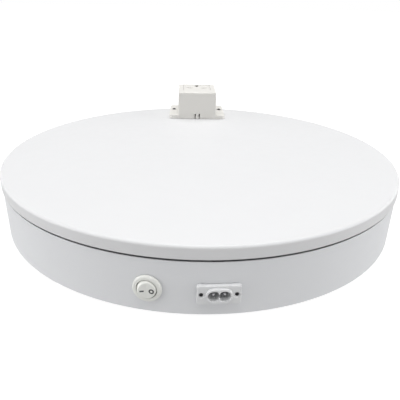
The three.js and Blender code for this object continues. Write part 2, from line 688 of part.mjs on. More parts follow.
function makeOutletInsert() {
  const half = INSERT_WIDTH / 2;
  const top = OUTLET_TOP - 0.3;
  const plate = box([-half, half], [INSERT_FRONT, INSERT_REAR], [top - INSERT_THICKNESS, top]);
  const skirts = [[-half, -half + 1.6], [half - 1.6, half]].map((x) =>
    box(x, [INSERT_FRONT + 2, INSERT_REAR - 2], [top - 12, top - INSERT_THICKNESS + 0.5]));
  const slots = [-1, 1].map((side) => {
    const { width, depth, x, y, tilt } = PIN_SLOT;
    const slot = prism(roundedRectangle(width, depth, 1.2), top - INSERT_THICKNESS - 1, top + 1);
    return slot.rotateZ(radians(side * tilt)).translate(side * x, y, 0);
  });
  const earth = prism(roundedRectangle(EARTH_SLOT.width, EARTH_SLOT.depth, 2), top - 5, top + 1)
    .translate(0, EARTH_SLOT.y, 0);
  return cut(join(plate, ...skirts), ...slots, earth);
}

function makeOutletBase() {
  const half = OUTLET_WIDTH / 2 - OUTLET_WALL - CLEARANCE - 0.3;
  const plate = box(
    [-half, half],
    [OUTLET_FRONT + OUTLET_WALL + CLEARANCE, OUTLET_REAR - OUTLET_WALL - CLEARANCE],
    [OUTLET_BOTTOM, OUTLET_BOTTOM + 2.5]);
  const posts = CONTACTS.map(({ x, y }) =>
    box([x - 4.5, x + 4.5], [y - 4, y + 4], [OUTLET_BOTTOM + 2, CONTACT_BOTTOM - CLEARANCE]));
  const leadHole = cylinder(3.6, OUTLET_BOTTOM - 1, OUTLET_BOTTOM + 4, 12)
    .translate(0, LEAD_EXIT_RADIUS, 0);
  return cut(join(plate, ...posts), leadHole);
}

const CONTACT_BOTTOM = 76;
const CONTACT_TOP = 92.5;
const CONTACTS = [
  { pole: 'live', x: -PIN_SLOT.x, y: PIN_SLOT.y },
  { pole: 'neutral', x: PIN_SLOT.x, y: PIN_SLOT.y },
  { pole: 'earth', x: 0, y: EARTH_SLOT.y },
];

// A U-shaped clip: two leaves that grip a plug pin between them.
function makeContact() {
  const leaves = [-2.6, 2.0].map((y) => box([-3, 3], [y, y + 0.6], [CONTACT_BOTTOM, CONTACT_TOP]));
  return join(...leaves, box([-3, 3], [-2.6, 2.6], [CONTACT_BOTTOM, CONTACT_BOTTOM + 0.8]));
}

// The shutter closes the two pin slots. It slides 8.6 mm towards the middle of the disc to open them.
const SHUTTER_TOP = OUTLET_TOP - INSERT_THICKNESS - 2 * CLEARANCE;

function makeShutter() {
  const half = SHUTTER_DEPTH / 2;
  return box([-17, 17], [PIN_SLOT.y - half, PIN_SLOT.y + half], [SHUTTER_TOP - 2, SHUTTER_TOP]);
}

piece(outletSide, 'outlet_cover', makeOutletCover(), outletPlastic);
piece(outletSide, 'outlet_insert', makeOutletInsert(), outletPlastic);
piece(outletSide, 'outlet_base', makeOutletBase(), outletPlastic);
piece(outletSide, 'outlet_shutter', makeShutter(), shutterPlastic);
for (const { pole, x, y } of CONTACTS) {
  piece(outletSide, `outlet_contact_${pole}`, makeContact(), brass).position.set(x, y, 0);
}
for (const [name, side] of [['left', -1], ['right', 1]]) {
  const headHeight = 1.2;
  const screw = piece(outletSide, `outlet_screw_${name}`, panScrew(2.3, headHeight, 1.5, 12), darkSteel);
  const earTop = OUTLET_BOTTOM + EAR_THICKNESS;
  screw.position.set(side * EAR_SCREW_X, EAR_SCREW_Y, earTop + CLEARANCE + headHeight);
  screw.rotation.x = Math.PI;
}

// ---------------------------------------------------------------- rocker switch in the wall

const FITTING_BACK = WALL_SEAT + CLEARANCE;  // the back of the bezel and of the inlet flange, from the axis
const BEZEL_RISE = 2.4;
const POCKET_RADIUS = 8;
const ROCKER_SPHERE = 7.7;
const ROCKER_CENTRE = 0.5;             // height of the rocker's pivot above the back of the bezel
const ROCKER_TILT = 9;                 // degrees either side of level

function makeSwitchBody() {
  const barrelDepth = 20;
  const body = lathe([
    [0, -barrelDepth],
    [SWITCH_BARREL_RADIUS, -barrelDepth],
    [SWITCH_BARREL_RADIUS, 0],
    [SWITCH_BEZEL_RADIUS, 0],
    ...arc(SWITCH_BEZEL_RADIUS - 1.6, BEZEL_RISE - 1.6, 1.6, 0, 90, 3),
    [POCKET_RADIUS, BEZEL_RISE],
    [POCKET_RADIUS, -11],
    [0, -11],
  ], 24);
  const terminals = [-4, 4].map((x) =>
    box([x - 0.4, x + 0.4], [-2.4, 2.4], [-barrelDepth - 6, -barrelDepth + 1]));
  const dimples = [0, 180].map((angle) =>
    cylinder(1.3, POCKET_RADIUS - 0.8, POCKET_RADIUS + 0.75, 8).rotateX(-Math.PI / 2)
      .rotateZ(radians(angle)).translate(0, 0, ROCKER_CENTRE));
  return cut(join(body, ...terminals), ...dimples);
}

// The rocker is cut from a ball, so that it stays clear of its pocket as it tilts about its own centre.
// Its front is a shallow V. Level here; the mesh is tilted to its OFF position.
function makeRocker() {
  const ball = new THREE.SphereGeometry(ROCKER_SPHERE, 18, 12);
  const rise = 9 * Math.tan(radians(ROCKER_TILT));
  const front = 3.3;
  const profile = [[-9, -6], [9, -6], [9, front + rise], [0, front], [-9, front + rise]];
  const wedge = prism(profile, -9, 9).rotateX(Math.PI / 2);
  const pinReach = POCKET_RADIUS + 0.4;
  const pins = cylinder(1, -pinReach, pinReach, 8).rotateX(Math.PI / 2);
  return join(common(ball, wedge), pins);
}

const switchMount = new THREE.Group();
switchMount.position.set(0, -FITTING_BACK, SWITCH_HEIGHT);
switchMount.rotation.x = Math.PI / 2;
switchSide.add(switchMount);
piece(switchMount, 'switch_body', makeSwitchBody(), whiteFitting);
const rocker = piece(switchMount, 'switch_rocker', makeRocker(), whiteFitting);
rocker.position.z = ROCKER_CENTRE;
rocker.rotation.y = radians(ROCKER_TILT);

// ---------------------------------------------------------------- two-pole mains inlet in the wall

const COLLAR = { width: 20.4, height: 12.8, rise: 2 };
const PIN_X = 4.3;
const RECESS_DEPTH = 15;

// Outline of the figure-8 recess: two round lobes, pinched by a notch above and below the middle.
function figureEight() {
  const lobe = 4.25;
  const waist = 2.3;
  return [
    [0, -waist], ...arc(PIN_X, 0, lobe, -132, 132, 12),
    [0, waist], ...arc(-PIN_X, 0, lobe, 48, 312, 12),
  ];
}

function makeInletBody() {
  const { width, height, thickness } = INLET_FLANGE;
  const flange = prism(roundedRectangle(width, height, 1.6), 0, thickness);
  const collar = prism(
    roundedRectangle(COLLAR.width, COLLAR.height, COLLAR.height / 2 - 0.1, 5),
    thickness - 1, thickness + COLLAR.rise);
  const shank = box(
    [-INLET_BODY.width / 2, INLET_BODY.width / 2], [-INLET_BODY.height / 2, INLET_BODY.height / 2],
    [-14, 1]);
  const front = thickness + COLLAR.rise;
  const recess = prism(figureEight(), front - RECESS_DEPTH, front + 1);
  const pinHoles = [-1, 1].map((side) => cylinder(1.5, -20, 0, 12).translate(side * PIN_X, 0, 0));
  const { head, shaft, depth } = INLET_SCREW;
  const sinks = [-1, 1].map((side) =>
    countersink(head + depth, shaft, 6).rotateX(Math.PI).translate(side * INLET_SCREW_X, 0, thickness));
  return cut(join(flange, collar, shank), recess, ...pinHoles, ...sinks);
}

function makeInletPin() {
  const tip = INLET_FLANGE.thickness + COLLAR.rise - 2.8;
  return lathe([[0, -19], [1.2, -19], [1.2, tip - 0.8], [0.5, tip], [0, tip]], 12);
}

const inletMount = new THREE.Group();
inletMount.position.set(0, -FITTING_BACK, INLET_HEIGHT);
inletMount.rotation.x = Math.PI / 2;
turntable.add(inletMount);
piece(inletMount, 'inlet_body', makeInletBody(), whiteFitting);
for (const [name, side] of [['left', -1], ['right', 1]]) {
  piece(inletMount, `inlet_pin_${name}`, makeInletPin(), steel).position.x = side * PIN_X;
  const { head, shaft, depth } = INLET_SCREW;
  const screw = piece(inletMount, `inlet_screw_${name}`, countersunkScrew(head, shaft, 8), darkSteel);
  screw.position.set(side * INLET_SCREW_X, 0, INLET_FLANGE.thickness - depth);
  screw.rotation.x = Math.PI;
}

// ---------------------------------------------------------------- wiring inside the base and the disc

const WIRE_RADIUS = 1.1;
const FLOOR_ROUTE = COVER_TOP + WIRE_RADIUS + 0.6;

// A point behind the wall: x along it, at a distance from the axis, on the switch's side.
function behindSwitch(x, radius, z) {
  const point = new THREE.Vector3(x, -radius, z);
  return point.applyAxisAngle(new THREE.Vector3(0, 0, 1), radians(SWITCH_AZIMUTH)).toArray();
}

const PIN_TAIL = -FITTING_BACK + 19.4;
const TERMINAL_END = FITTING_BACK - 26.4;
const BLOCK_SIDE = BLOCK.x[0] - CLEARANCE;

const wireRoutes = {
  wire_inlet_switch: {
    finish: liveInsulation,
    points: [
      [-PIN_X, PIN_TAIL, INLET_HEIGHT], [-PIN_X - 1, PIN_TAIL + 6, INLET_HEIGHT - 2],
      [-14, -168, 15], [-30, -162, 14],
      behindSwitch(5, TERMINAL_END - 8, SWITCH_HEIGHT - 3), behindSwitch(4, TERMINAL_END, SWITCH_HEIGHT),
    ],
  },
  wire_switch_brush: {
    finish: liveInsulation,
    points: [
      behindSwitch(-4, TERMINAL_END, SWITCH_HEIGHT), behindSwitch(-6, TERMINAL_END - 8, SWITCH_HEIGHT - 3),
      [-70, -145, 12], [-94, -100, FLOOR_ROUTE], [-98, -40, FLOOR_ROUTE], [-86, 15, FLOOR_ROUTE],
      [-66, 34, 11], [BLOCK_SIDE - 5, 35, 12], [BLOCK_SIDE, 35, 12],
    ],
  },
  wire_inlet_brush: {
    finish: neutralInsulation,
    points: [
      [PIN_X, PIN_TAIL, INLET_HEIGHT], [PIN_X, PIN_TAIL + 6, INLET_HEIGHT - 2], [0, -160, 13],
      [-22, -128, FLOOR_ROUTE], [-52, -80, FLOOR_ROUTE], [-72, -30, FLOOR_ROUTE], [-72, 8, FLOOR_ROUTE],
      [-62, 24, 11], [BLOCK_SIDE - 5, 26, 12], [BLOCK_SIDE, 26, 12],
    ],
  },
  motor_lead: {
    finish: greyInsulation,
    points: [
      [66, -20.4, 14], [58, -28, 12], [38, -46, FLOOR_ROUTE], [2, -54, FLOOR_ROUTE], [-30, -42, FLOOR_ROUTE],
      [-42, -14, FLOOR_ROUTE], [-39, 8, 10], [-38, BLOCK.y[0] - 5, 12], [-38, BLOCK.y[0] - CLEARANCE, 12],
    ],
  },
};

for (const [name, { finish, points }] of Object.entries(wireRoutes)) {
  piece(turntable, name, tube(points, WIRE_RADIUS, 3 * points.length), finish);
}

const outletLead = [
  [0, LEAD_HOLE_RADIUS, CARRIER_TOP + CLEARANCE],
  [0, LEAD_HOLE_RADIUS, WEB_TOP],
  [0, LEAD_HOLE_RADIUS + 3, 50],
  [0, 62, 56],
  [0, 100, 56.5],
  [0, 138, 55.5],
  [0, LEAD_EXIT_RADIUS - 3, 56.5],
  [0, LEAD_EXIT_RADIUS, 60],
  [0, LEAD_EXIT_RADIUS, 66],
  [0, LEAD_EXIT_RADIUS + 3, 72],
  [0, 172, 75],
];
piece(outletSide, 'outlet_lead', tube(outletLead, 1.8, 3 * outletLead.length), greyInsulation);

export default turntable;
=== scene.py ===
"""The looks of a motorised display turntable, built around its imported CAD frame.

Forms are made in millimetres, in the local frame of the place where they sit, and turn into metres
when they become pieces. +Z is up, the mains inlet faces -Y, and the origin is under the disc's middle.
"""

import json
import math

import bmesh
import bpy
from mathutils import Matrix, Vector


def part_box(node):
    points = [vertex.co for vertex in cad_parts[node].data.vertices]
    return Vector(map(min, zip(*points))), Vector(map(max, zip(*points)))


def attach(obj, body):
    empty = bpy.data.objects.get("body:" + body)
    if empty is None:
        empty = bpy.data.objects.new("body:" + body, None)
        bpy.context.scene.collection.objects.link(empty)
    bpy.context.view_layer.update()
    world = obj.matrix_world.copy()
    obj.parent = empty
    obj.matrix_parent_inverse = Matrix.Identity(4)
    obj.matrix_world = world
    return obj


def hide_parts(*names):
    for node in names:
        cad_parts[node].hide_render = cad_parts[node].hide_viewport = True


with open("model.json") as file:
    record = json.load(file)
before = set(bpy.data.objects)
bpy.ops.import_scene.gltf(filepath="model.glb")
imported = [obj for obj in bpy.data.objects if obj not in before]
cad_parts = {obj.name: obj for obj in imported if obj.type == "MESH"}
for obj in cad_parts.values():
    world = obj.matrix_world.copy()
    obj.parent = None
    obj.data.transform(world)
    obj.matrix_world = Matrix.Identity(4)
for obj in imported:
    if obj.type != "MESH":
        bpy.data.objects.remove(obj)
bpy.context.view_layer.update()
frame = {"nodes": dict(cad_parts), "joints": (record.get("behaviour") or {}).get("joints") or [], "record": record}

MM = 0.001
HERE = Matrix.Identity(4)
joints = {joint["name"]: joint for joint in frame["joints"]}


# ---- places, read from the frame


def extent(node, place=HERE):
    """A CAD node's lowest and highest corners in millimetres, along the axes of a local frame."""
    inverse = place.inverted()
    points = [inverse @ vertex.co for vertex in frame["nodes"][node].data.vertices]
    low = Vector([min(point[axis] for point in points) for axis in range(3)])
    high = Vector([max(point[axis] for point in points) for axis in range(3)])
    return low / MM, high / MM


def turn(axis, degrees):
    return Matrix.Rotation(math.radians(degrees), 4, axis)


def shift(x, y, z):
    return Matrix.Translation((x, y, z))


def wall_frame(point):
    """A frame on the wall: z points out of it, y is up, and x is to the right as seen from outside."""
    heading = math.degrees(math.atan2(point.x, -point.y))
    return Matrix.Translation(point) @ turn("Z", heading) @ turn("X", 90)


def in_mm(place):
    """A place for forms that are still in millimetres."""
    return Matrix.Scale(1 / MM, 4) @ place @ Matrix.Scale(MM, 4)


switch_place = wall_frame(Vector(joints["rocker_tilt"]["pos_m"]))
inlet_low, inlet_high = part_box("inlet_body")
INLET_PROUD = 5
inlet_place = wall_frame(Vector((0, inlet_low.y + INLET_PROUD * MM, (inlet_low.z + inlet_high.z) / 2)))
slide = Vector(joints["shutter_slide"]["axis"])
outlet_heading = math.degrees(math.atan2(slide.x, -slide.y))
outlet_place = turn("Z", outlet_heading)


# ---- outlines


def arc(x, y, radius, start, end, steps):
    """Points along an arc, angles in degrees."""
    angles = [math.radians(start + (end - start) * i / steps) for i in range(steps + 1)]
    return [(x + radius * math.cos(a), y + radius * math.sin(a)) for a in angles]


def rounded(corners, closed=True, steps=5):
    """An outline from (x, y) and (x, y, fillet) corners. A corner with a fillet becomes an arc."""
    outline = []
    for i, (x, y, *fillet) in enumerate(corners):
        at_end = not closed and i in (0, len(corners) - 1)
        if not fillet or at_end:
            outline.append((x, y))
            continue
        corner = Vector((x, y))
        before = (Vector(corners[i - 1][:2]) - corner).normalized()
        after = (Vector(corners[(i + 1) % len(corners)][:2]) - corner).normalized()
        half = before.angle(after) / 2
        centre = corner + (before + after).normalized() * fillet[0] / math.sin(half)
        start = corner + before * fillet[0] / math.tan(half) - centre
        end = corner + after * fillet[0] / math.tan(half) - centre
        first = math.atan2(start.y, start.x)
        sweep = (math.atan2(end.y, end.x) - first + math.pi) % (2 * math.pi) - math.pi
        for k in range(steps + 1):
            angle = first + sweep * k / steps
            outline.append((centre.x + fillet[0] * math.cos(angle), centre.y + fillet[0] * math.sin(angle)))
    return outline


def rounded_rectangle(width, height, radius, steps=6):
    x, y = width / 2 - radius, height / 2 - radius
    quarters = [(x, y, 0), (-x, y, 90), (-x, -y, 180), (x, -y, 270)]
    return [point for cx, cy, start in quarters for point in arc(cx, cy, radius, start, start + 90, steps)]


# ---- forms


def as_form(bm):
    bmesh.ops.recalc_face_normals(bm, faces=bm.faces)
    mesh = bpy.data.meshes.new("form")
    bm.to_mesh(mesh)
    bm.free()
    form = bpy.data.objects.new("form", mesh)
    bpy.context.scene.collection.objects.link(form)
    return form


def lathe(profile, steps=96):
    """Turns (radius, height) points about +Z. They start and end on the axis, or close on themselves."""
    bm = bmesh.new()
    rings = []
    for radius, height in profile:
        if radius < 1e-6:
            rings.append([bm.verts.new((0, 0, height))] * steps)
            continue
        angles = [2 * math.pi * i / steps for i in range(steps)]
        rings.append([bm.verts.new((radius * math.cos(a), radius * math.sin(a), height)) for a in angles])
    pairs = list(zip(rings, rings[1:]))
    if profile[0][0] > 1e-6:
        pairs.append((rings[-1], rings[0]))
    for lower, upper in pairs:
        for i in range(steps):
            j = (i + 1) % steps
            bm.faces.new(list(dict.fromkeys([lower[i], lower[j], upper[j], upper[i]])))
    return as_form(bm)


def loft(loops):
    """Skins equal loops of 3-D points from first to last, and caps both ends."""
    bm = bmesh.new()
    rings = [[bm.verts.new(point) for point in loop] for loop in loops]
    for lower, upper in zip(rings, rings[1:]):
        for i in range(len(lower)):
            j = (i + 1) % len(lower)
            bm.faces.new([lower[i], lower[j], upper[j], upper[i]])
    bm.faces.new(rings[0])
    bm.faces.new(rings[-1])
    return as_form(bm)


def prism(outline, z0, z1):
    return loft([[(x, y, z) for x, y in outline] for z in (z0, z1)])


def slab(outline, z0, z1, top=0.0, bottom=0.0, steps=4):
    """A plate whose outline(inset) shrinks in quarter circles at its top and bottom edges."""
    levels = []
    for k in range(steps + 1 if bottom else 0):
        angle = math.pi / 2 * k / steps
        levels.append((bottom * (1 - math.sin(angle)), z0 + bottom * (1 - math.cos(angle))))
    if not bottom:
        levels.append((0, z0))
    for k in range(steps + 1 if top else 0):
        angle = math.pi / 2 * k / steps
        levels.append((top * (1 - math.cos(angle)), z1 - top * (1 - math.sin(angle))))
    if not top:
        levels.append((0, z1))
    return loft([[(x, y, z) for x, y in outline(inset)] for inset, z in levels])


def shrinking(width, height, radius):
    """A rounded rectangle's outline(inset), as slab asks for it."""
    return lambda inset: rounded_rectangle(width - 2 * inset, height - 2 * inset, radius)


def cylinder(radius, z0, z1, steps=32):
    return lathe([(0, z0), (radius, z0), (radius, z1), (0, z1)], steps)


def box(xs, ys, zs):
    return prism([(xs[0], ys[0]), (xs[1], ys[0]), (xs[1], ys[1]), (xs[0], ys[1])], *zs)


def moved(form, *matrices):
    """The form after the matrices, of which the last acts first."""
    whole = HERE
    for matrix in matrices:
        whole = whole @ matrix
    form.data.transform(whole)
    return form


def apply_modifiers(form):
    bpy.context.view_layer.update()
    graph = bpy.context.evaluated_depsgraph_get()
    mesh = bpy.data.meshes.new_from_object(form.evaluated_get(graph))
    form.modifiers.clear()
    form.data = mesh
    return form


def combine(operation, form, tools):
    for tool in tools:
        modifier = form.modifiers.new(operation, "BOOLEAN")
        modifier.operation = operation
        modifier.solver = "EXACT"
        modifier.object = tool
    apply_modifiers(form)
    for tool in tools:
        bpy.data.objects.remove(tool)
    return form


def join(form, *tools):
    return combine("UNION", form, tools)


def cut(form, *tools):
    return combine("DIFFERENCE", form, tools)


def soften(form, width, steps=3, angle=35):
    """Rounds every edge that is sharper than the angle."""
    modifier = form.modifiers.new("edges", "BEVEL")
    modifier.limit_method = "ANGLE"
    modifier.angle_limit = math.radians(angle)
    modifier.width = width
    modifier.segments = steps
    modifier.use_clamp_overlap = True
    return apply_modifiers(form)


def around(make, radius, angles):
    """The form that make returns, set out on a circle about +Z."""
    return [moved(make(), turn("Z", angle), shift(radius, 0, 0)) for angle in angles]


def copies(make, count):
    """The form that make returns, at equal angles about +Z."""
    return around(make, 0, [360 * i / count for i in range(count)])


# ---- materials


def set_inputs(node, values):
    """Sets a shader node's inputs. An underscore stands for a space in their names."""
    for socket, value in values.items():
        node.inputs[socket.replace("_", " ")].default_value = value


def add_node(tree, kind, **values):
    node = tree.nodes.new("ShaderNode" + kind)
    set_inputs(node, values)
    return node


class Surface:
    """A Principled material with detail in object space. Sizes of grains are in millimetres."""

    def __init__(self, name, colour, roughness, metallic=0.0, **constants):
        self.name = name
        self.material = bpy.data.materials.new(name)
        self.material.use_nodes = True
        self.tree = self.material.node_tree
        self.shader = self.tree.nodes["Principled BSDF"]
        self.colour = colour
        self.roughness = roughness
        set_inputs(self.shader, {"Base Color": (*colour, 1), "Roughness": roughness, "Metallic": metallic})
        set_inputs(self.shader, constants)
        self.position = add_node(self.tree, "TexCoord").outputs["Object"]
        self.normal = None

    def join(self, output, socket):
        self.tree.links.new(output, socket)

    def noise(self, grain, detail=2.0, stretch=(1, 1, 1), offset=(0, 0, 0)):
        """Cloudy noise from 0 to 1, with clouds about grain wide along each axis, times the stretch."""
        scale = [1 / (grain * MM * s) for s in stretch]
        mapping = add_node(self.tree, "Mapping", Location=offset, Scale=scale)
        self.join(self.position, mapping.inputs["Vector"])
        texture = add_node(self.tree, "TexNoise", Scale=1, Detail=detail)
        self.join(mapping.outputs["Vector"], texture.inputs["Vector"])
        return texture.outputs["Fac"]

    def remap(self, value, low, high, start=0.35, end=0.65):
        """A value from start to end, mapped onto low to high."""
        node = add_node(self.tree, "MapRange", From_Min=start, From_Max=end, To_Min=low, To_Max=high)
        self.join(value, node.inputs["Value"])
        return node.outputs["Result"]

    def tint(self, mask, colour):
        """Lays a colour over the base colour where the mask is 1."""
        node = add_node(self.tree, "Mix")
        node.data_type = "RGBA"
        base = self.shader.inputs["Base Color"]
        if base.is_linked:
            self.join(base.links[0].from_socket, node.inputs["A"])
        else:
            node.inputs["A"].default_value = (*self.colour, 1)
        node.inputs["B"].default_value = (*colour, 1)
        self.join(mask, node.inputs["Factor"])
        self.join(node.outputs["Result"], base)
        return self

    def vary_roughness(self, value, amount):
        self.join(self.remap(value, self.roughness - amount, self.roughness + amount),
                  self.shader.inputs["Roughness"])
        return self

    def bump(self, height, depth, strength=1.0):
        """Relief as deep as depth, in millimetres."""
        node = add_node(self.tree, "Bump", Distance=depth * MM, Strength=strength)
        self.join(height, node.inputs["Height"])
        if self.normal:
            self.join(self.normal, node.inputs["Normal"])
        self.normal = node.outputs["Normal"]
        self.join(self.normal, self.shader.inputs["Normal"])
        return self


def scaled(colour, factor):
    return tuple(channel * factor for channel in colour)


def moulded_plastic(name, colour, roughness, grain=0.4, relief=0.02, warmth=0.985, **constants):
    """Satin plastic: a spark-eroded skin, faint flow clouds and a slow waviness."""
    surface = Surface(name, colour, roughness, **constants)
    clouds = surface.noise(38, 3)
    surface.tint(surface.remap(clouds, 0, 1, 0.3, 0.7), scaled(colour, warmth))
    specks = surface.noise(1.3, 1, offset=(3.1, 1.7, 0.4))
    surface.tint(surface.remap(specks, 0, 0.5, 0.62, 0.8), scaled(colour, 0.96))
    surface.vary_roughness(surface.noise(11, 4, offset=(0.7, 5.2, 2.3)), 0.045)
    surface.bump(surface.noise(26, 2, offset=(4.4, 0.2, 1.9)), 0.08, 0.35)
    return surface.bump(surface.noise(grain, 3), relief, 0.6)


def turned_metal(name, colour, roughness, relief=0.006, stain=0.86):
    """Metal with fine tool lines round the vertical axis, and faint stains."""
    surface = Surface(name, colour, roughness, metallic=1.0)
    clouds = surface.noise(7, 4)
    surface.tint(surface.remap(clouds, 0, 0.7), scaled(colour, stain))
    surface.vary_roughness(surface.noise(2.2, 3, offset=(1.3, 0.6, 2.8)), 0.07)
    lines = surface.noise(0.35, 2, stretch=(20, 20, 1))
    surface.bump(lines, relief, 0.7)
    return surface.bump(surface.noise(0.6, 2, offset=(2, 2, 2)), relief / 2, 0.5)


def black_oxide(name, colour, roughness):
    """Blackened steel that shows some bare metal where it is rubbed."""
    surface = Surface(name, colour, roughness, metallic=1.0)
    rubbed = surface.noise(0.9, 4)
    surface.tint(surface.remap(rubbed, 0, 0.55, 0.56, 0.74), scaled(colour, 3.2))
    surface.vary_roughness(surface.noise(0.5, 3, offset=(1, 0, 3)), 0.09)
    return surface.bump(surface.noise(0.22, 3), 0.012, 0.7)


def moulded_rubber(name, colour, roughness):
    surface = Surface(name, colour, roughness, Specular_IOR_Level=0.35)
    dust = surface.noise(2.4, 5)
    surface.tint(surface.remap(dust, 0, 0.5, 0.5, 0.75), scaled(colour, 2.6))
    surface.vary_roughness(surface.noise(4, 3, offset=(2, 1, 0)), 0.06)
    return surface.bump(surface.noise(0.3, 4), 0.03, 0.8)


def pressed_phenolic(name, colour, roughness):
    """Brown moulding resin, flecked with its filler."""
    surface = Surface(name, colour, roughness)
    flecks = surface.noise(0.7, 3)
    surface.tint(surface.remap(flecks, 0, 0.8, 0.55, 0.7), scaled(colour, 1.9))
    surface.tint(surface.remap(surface.noise(6, 3, offset=(5, 5, 5)), 0, 0.6), scaled(colour, 0.7))
    surface.vary_roughness(surface.noise(1.6, 3, offset=(0, 4, 1)), 0.08)
    return surface.bump(surface.noise(0.4, 3), 0.02, 0.7)


def wire_insulation(name, colour, roughness):
    """PVC over stranded wire: faint lengthwise waviness and scuffs."""
    surface = Surface(name, colour, roughness)
    scuffs = surface.noise(1.1, 4, stretch=(3, 3, 1))
    surface.tint(surface.remap(scuffs, 0, 0.45, 0.52, 0.75), scaled(colour, 1.35))
    surface.vary_roughness(surface.noise(1.8, 3, offset=(3, 0, 1)), 0.07)
    return surface.bump(surface.noise(0.8, 2, offset=(1, 1, 0)), 0.03, 0.6)


surfaces = {surface.name: surface for surface in (
    moulded_plastic("shell_white", (0.712, 0.72, 0.735), 0.5, warmth=0.988,
                    Specular_IOR_Level=0.4),
    moulded_plastic("fitting_white", (0.7, 0.705, 0.712), 0.32, 0.3, 0.012),
    moulded_plastic("outlet_white", (0.735, 0.722, 0.69), 0.4, 0.35, 0.02),
    moulded_plastic("shutter_grey", (0.42, 0.41, 0.39), 0.5, 0.35, 0.03),
    moulded_plastic("gear_plastic", (0.82, 0.79, 0.7), 0.38, 0.5, 0.012, warmth=0.95,
                    Subsurface_Weight=0.15, Subsurface_Scale=0.002),
    moulded_rubber("rubber_black", (0.022, 0.022, 0.023), 0.78),
    turned_metal("bright_steel", (0.6, 0.6, 0.61), 0.27),
    turned_metal("motor_steel", (0.47, 0.48, 0.49), 0.4, 0.01),
    black_oxide("dark_screws", (0.075, 0.075, 0.08), 0.42),
    turned_metal("brass", (0.72, 0.53, 0.22), 0.3, 0.008, 0.78),
    pressed_phenolic("phenolic", (0.16, 0.085, 0.045), 0.55),
    wire_insulation("insulation_brown", (0.17, 0.065, 0.025), 0.42),
    wire_insulation("insulation_blue", (0.04, 0.13, 0.36), 0.42),
    wire_insulation("insulation_grey", (0.5, 0.5, 0.51), 0.45),
)}
node_slots = {row["node"]: row["material_slot"] for row in frame["record"]["subparts"]}
node_bodies = {node: body for body, nodes in frame["record"]["behaviour"]["bodies"].items() for node in nodes}
for node, part in frame["nodes"].items():
    for material_slot in part.material_slots:
        material_slot.material = surfaces[node_slots[node]].material

mark_ink = Surface("mark_ink", (0.045, 0.045, 0.048), 0.5)
mark_ink.tint(mark_ink.remap(mark_ink.noise(0.25, 3), 0, 0.5, 0.5, 0.8), (0.11, 0.11, 0.115))
mark_ink.bump(mark_ink.noise(0.15, 2), 0.01)


# ---- from form to piece


def shade(form, angle=38):
    """Smooth shading that keeps real corners, and leans on the large faces."""
    form.data.shade_smooth()
    form.data.set_sharp_from_angle(angle=math.radians(angle))
    modifier = form.modifiers.new("shading", "WEIGHTED_NORMAL")
    modifier.keep_sharp = True
    return apply_modifiers(form)


def extra_piece(name, form, body, slot, place=HERE, surface=None):
    """Turns a form into a finished piece that rides on a body."""
    form.data.transform(place @ Matrix.Scale(MM, 4))
    shade(form)
    form.name = name
    form.data.name = name
    form.data.materials.clear()
    form.data.materials.append((surface or surfaces[slot]).material)
    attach(form, body)


def piece(name, form, node, place=HERE, surface=None):
    """A finished piece that stands for a CAD node and hides it, riding on that node's body, in the material of
    that node's slot unless another surface is given.
    """
    extra_piece(name, form, node_bodies[node], node_slots[node], place, surface)
    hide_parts(node)


# ---- base shell, cover and feet

base_low, base_high = extent("base_shell")
BASE_RADIUS = base_high.x
BASE_WALL = 3
LIP_WIDTH = 1
FLANGE_INNER = 196
FLANGE_TOP = base_high.z - 5
FLANGE_BOTTOM = FLANGE_TOP - 2.5
SCREW_ANGLES = [22.5, 112.5, 202.5, 292.5]
SCREW_CIRCLE = 199
BOSS_FOOT = 6.8
SEAT_DEPTH = 4.8
PILOT = 1.9
GAP = 0.3

switch_low, switch_high = extent("switch_body", switch_place)
BEZEL_RADIUS = switch_high.x
BEZEL_FRONT = switch_high.z
BEZEL_RISE = 2.4
BEZEL_BACK = BEZEL_FRONT - BEZEL_RISE
BARREL_RADIUS = 9.9
FLANGE = {"width": inlet_high.x / MM * 2, "height": (inlet_high.z - inlet_low.z) / MM, "thickness": 3}
COLLAR = {"width": 20.4, "height": 12.8}
SHANK = {"width": 21.6, "height": 12.6}
INLET_SCREW_X = 13.4
INLET_SCREW = {"head": 1.5, "shaft": 1, "depth": 0.9}


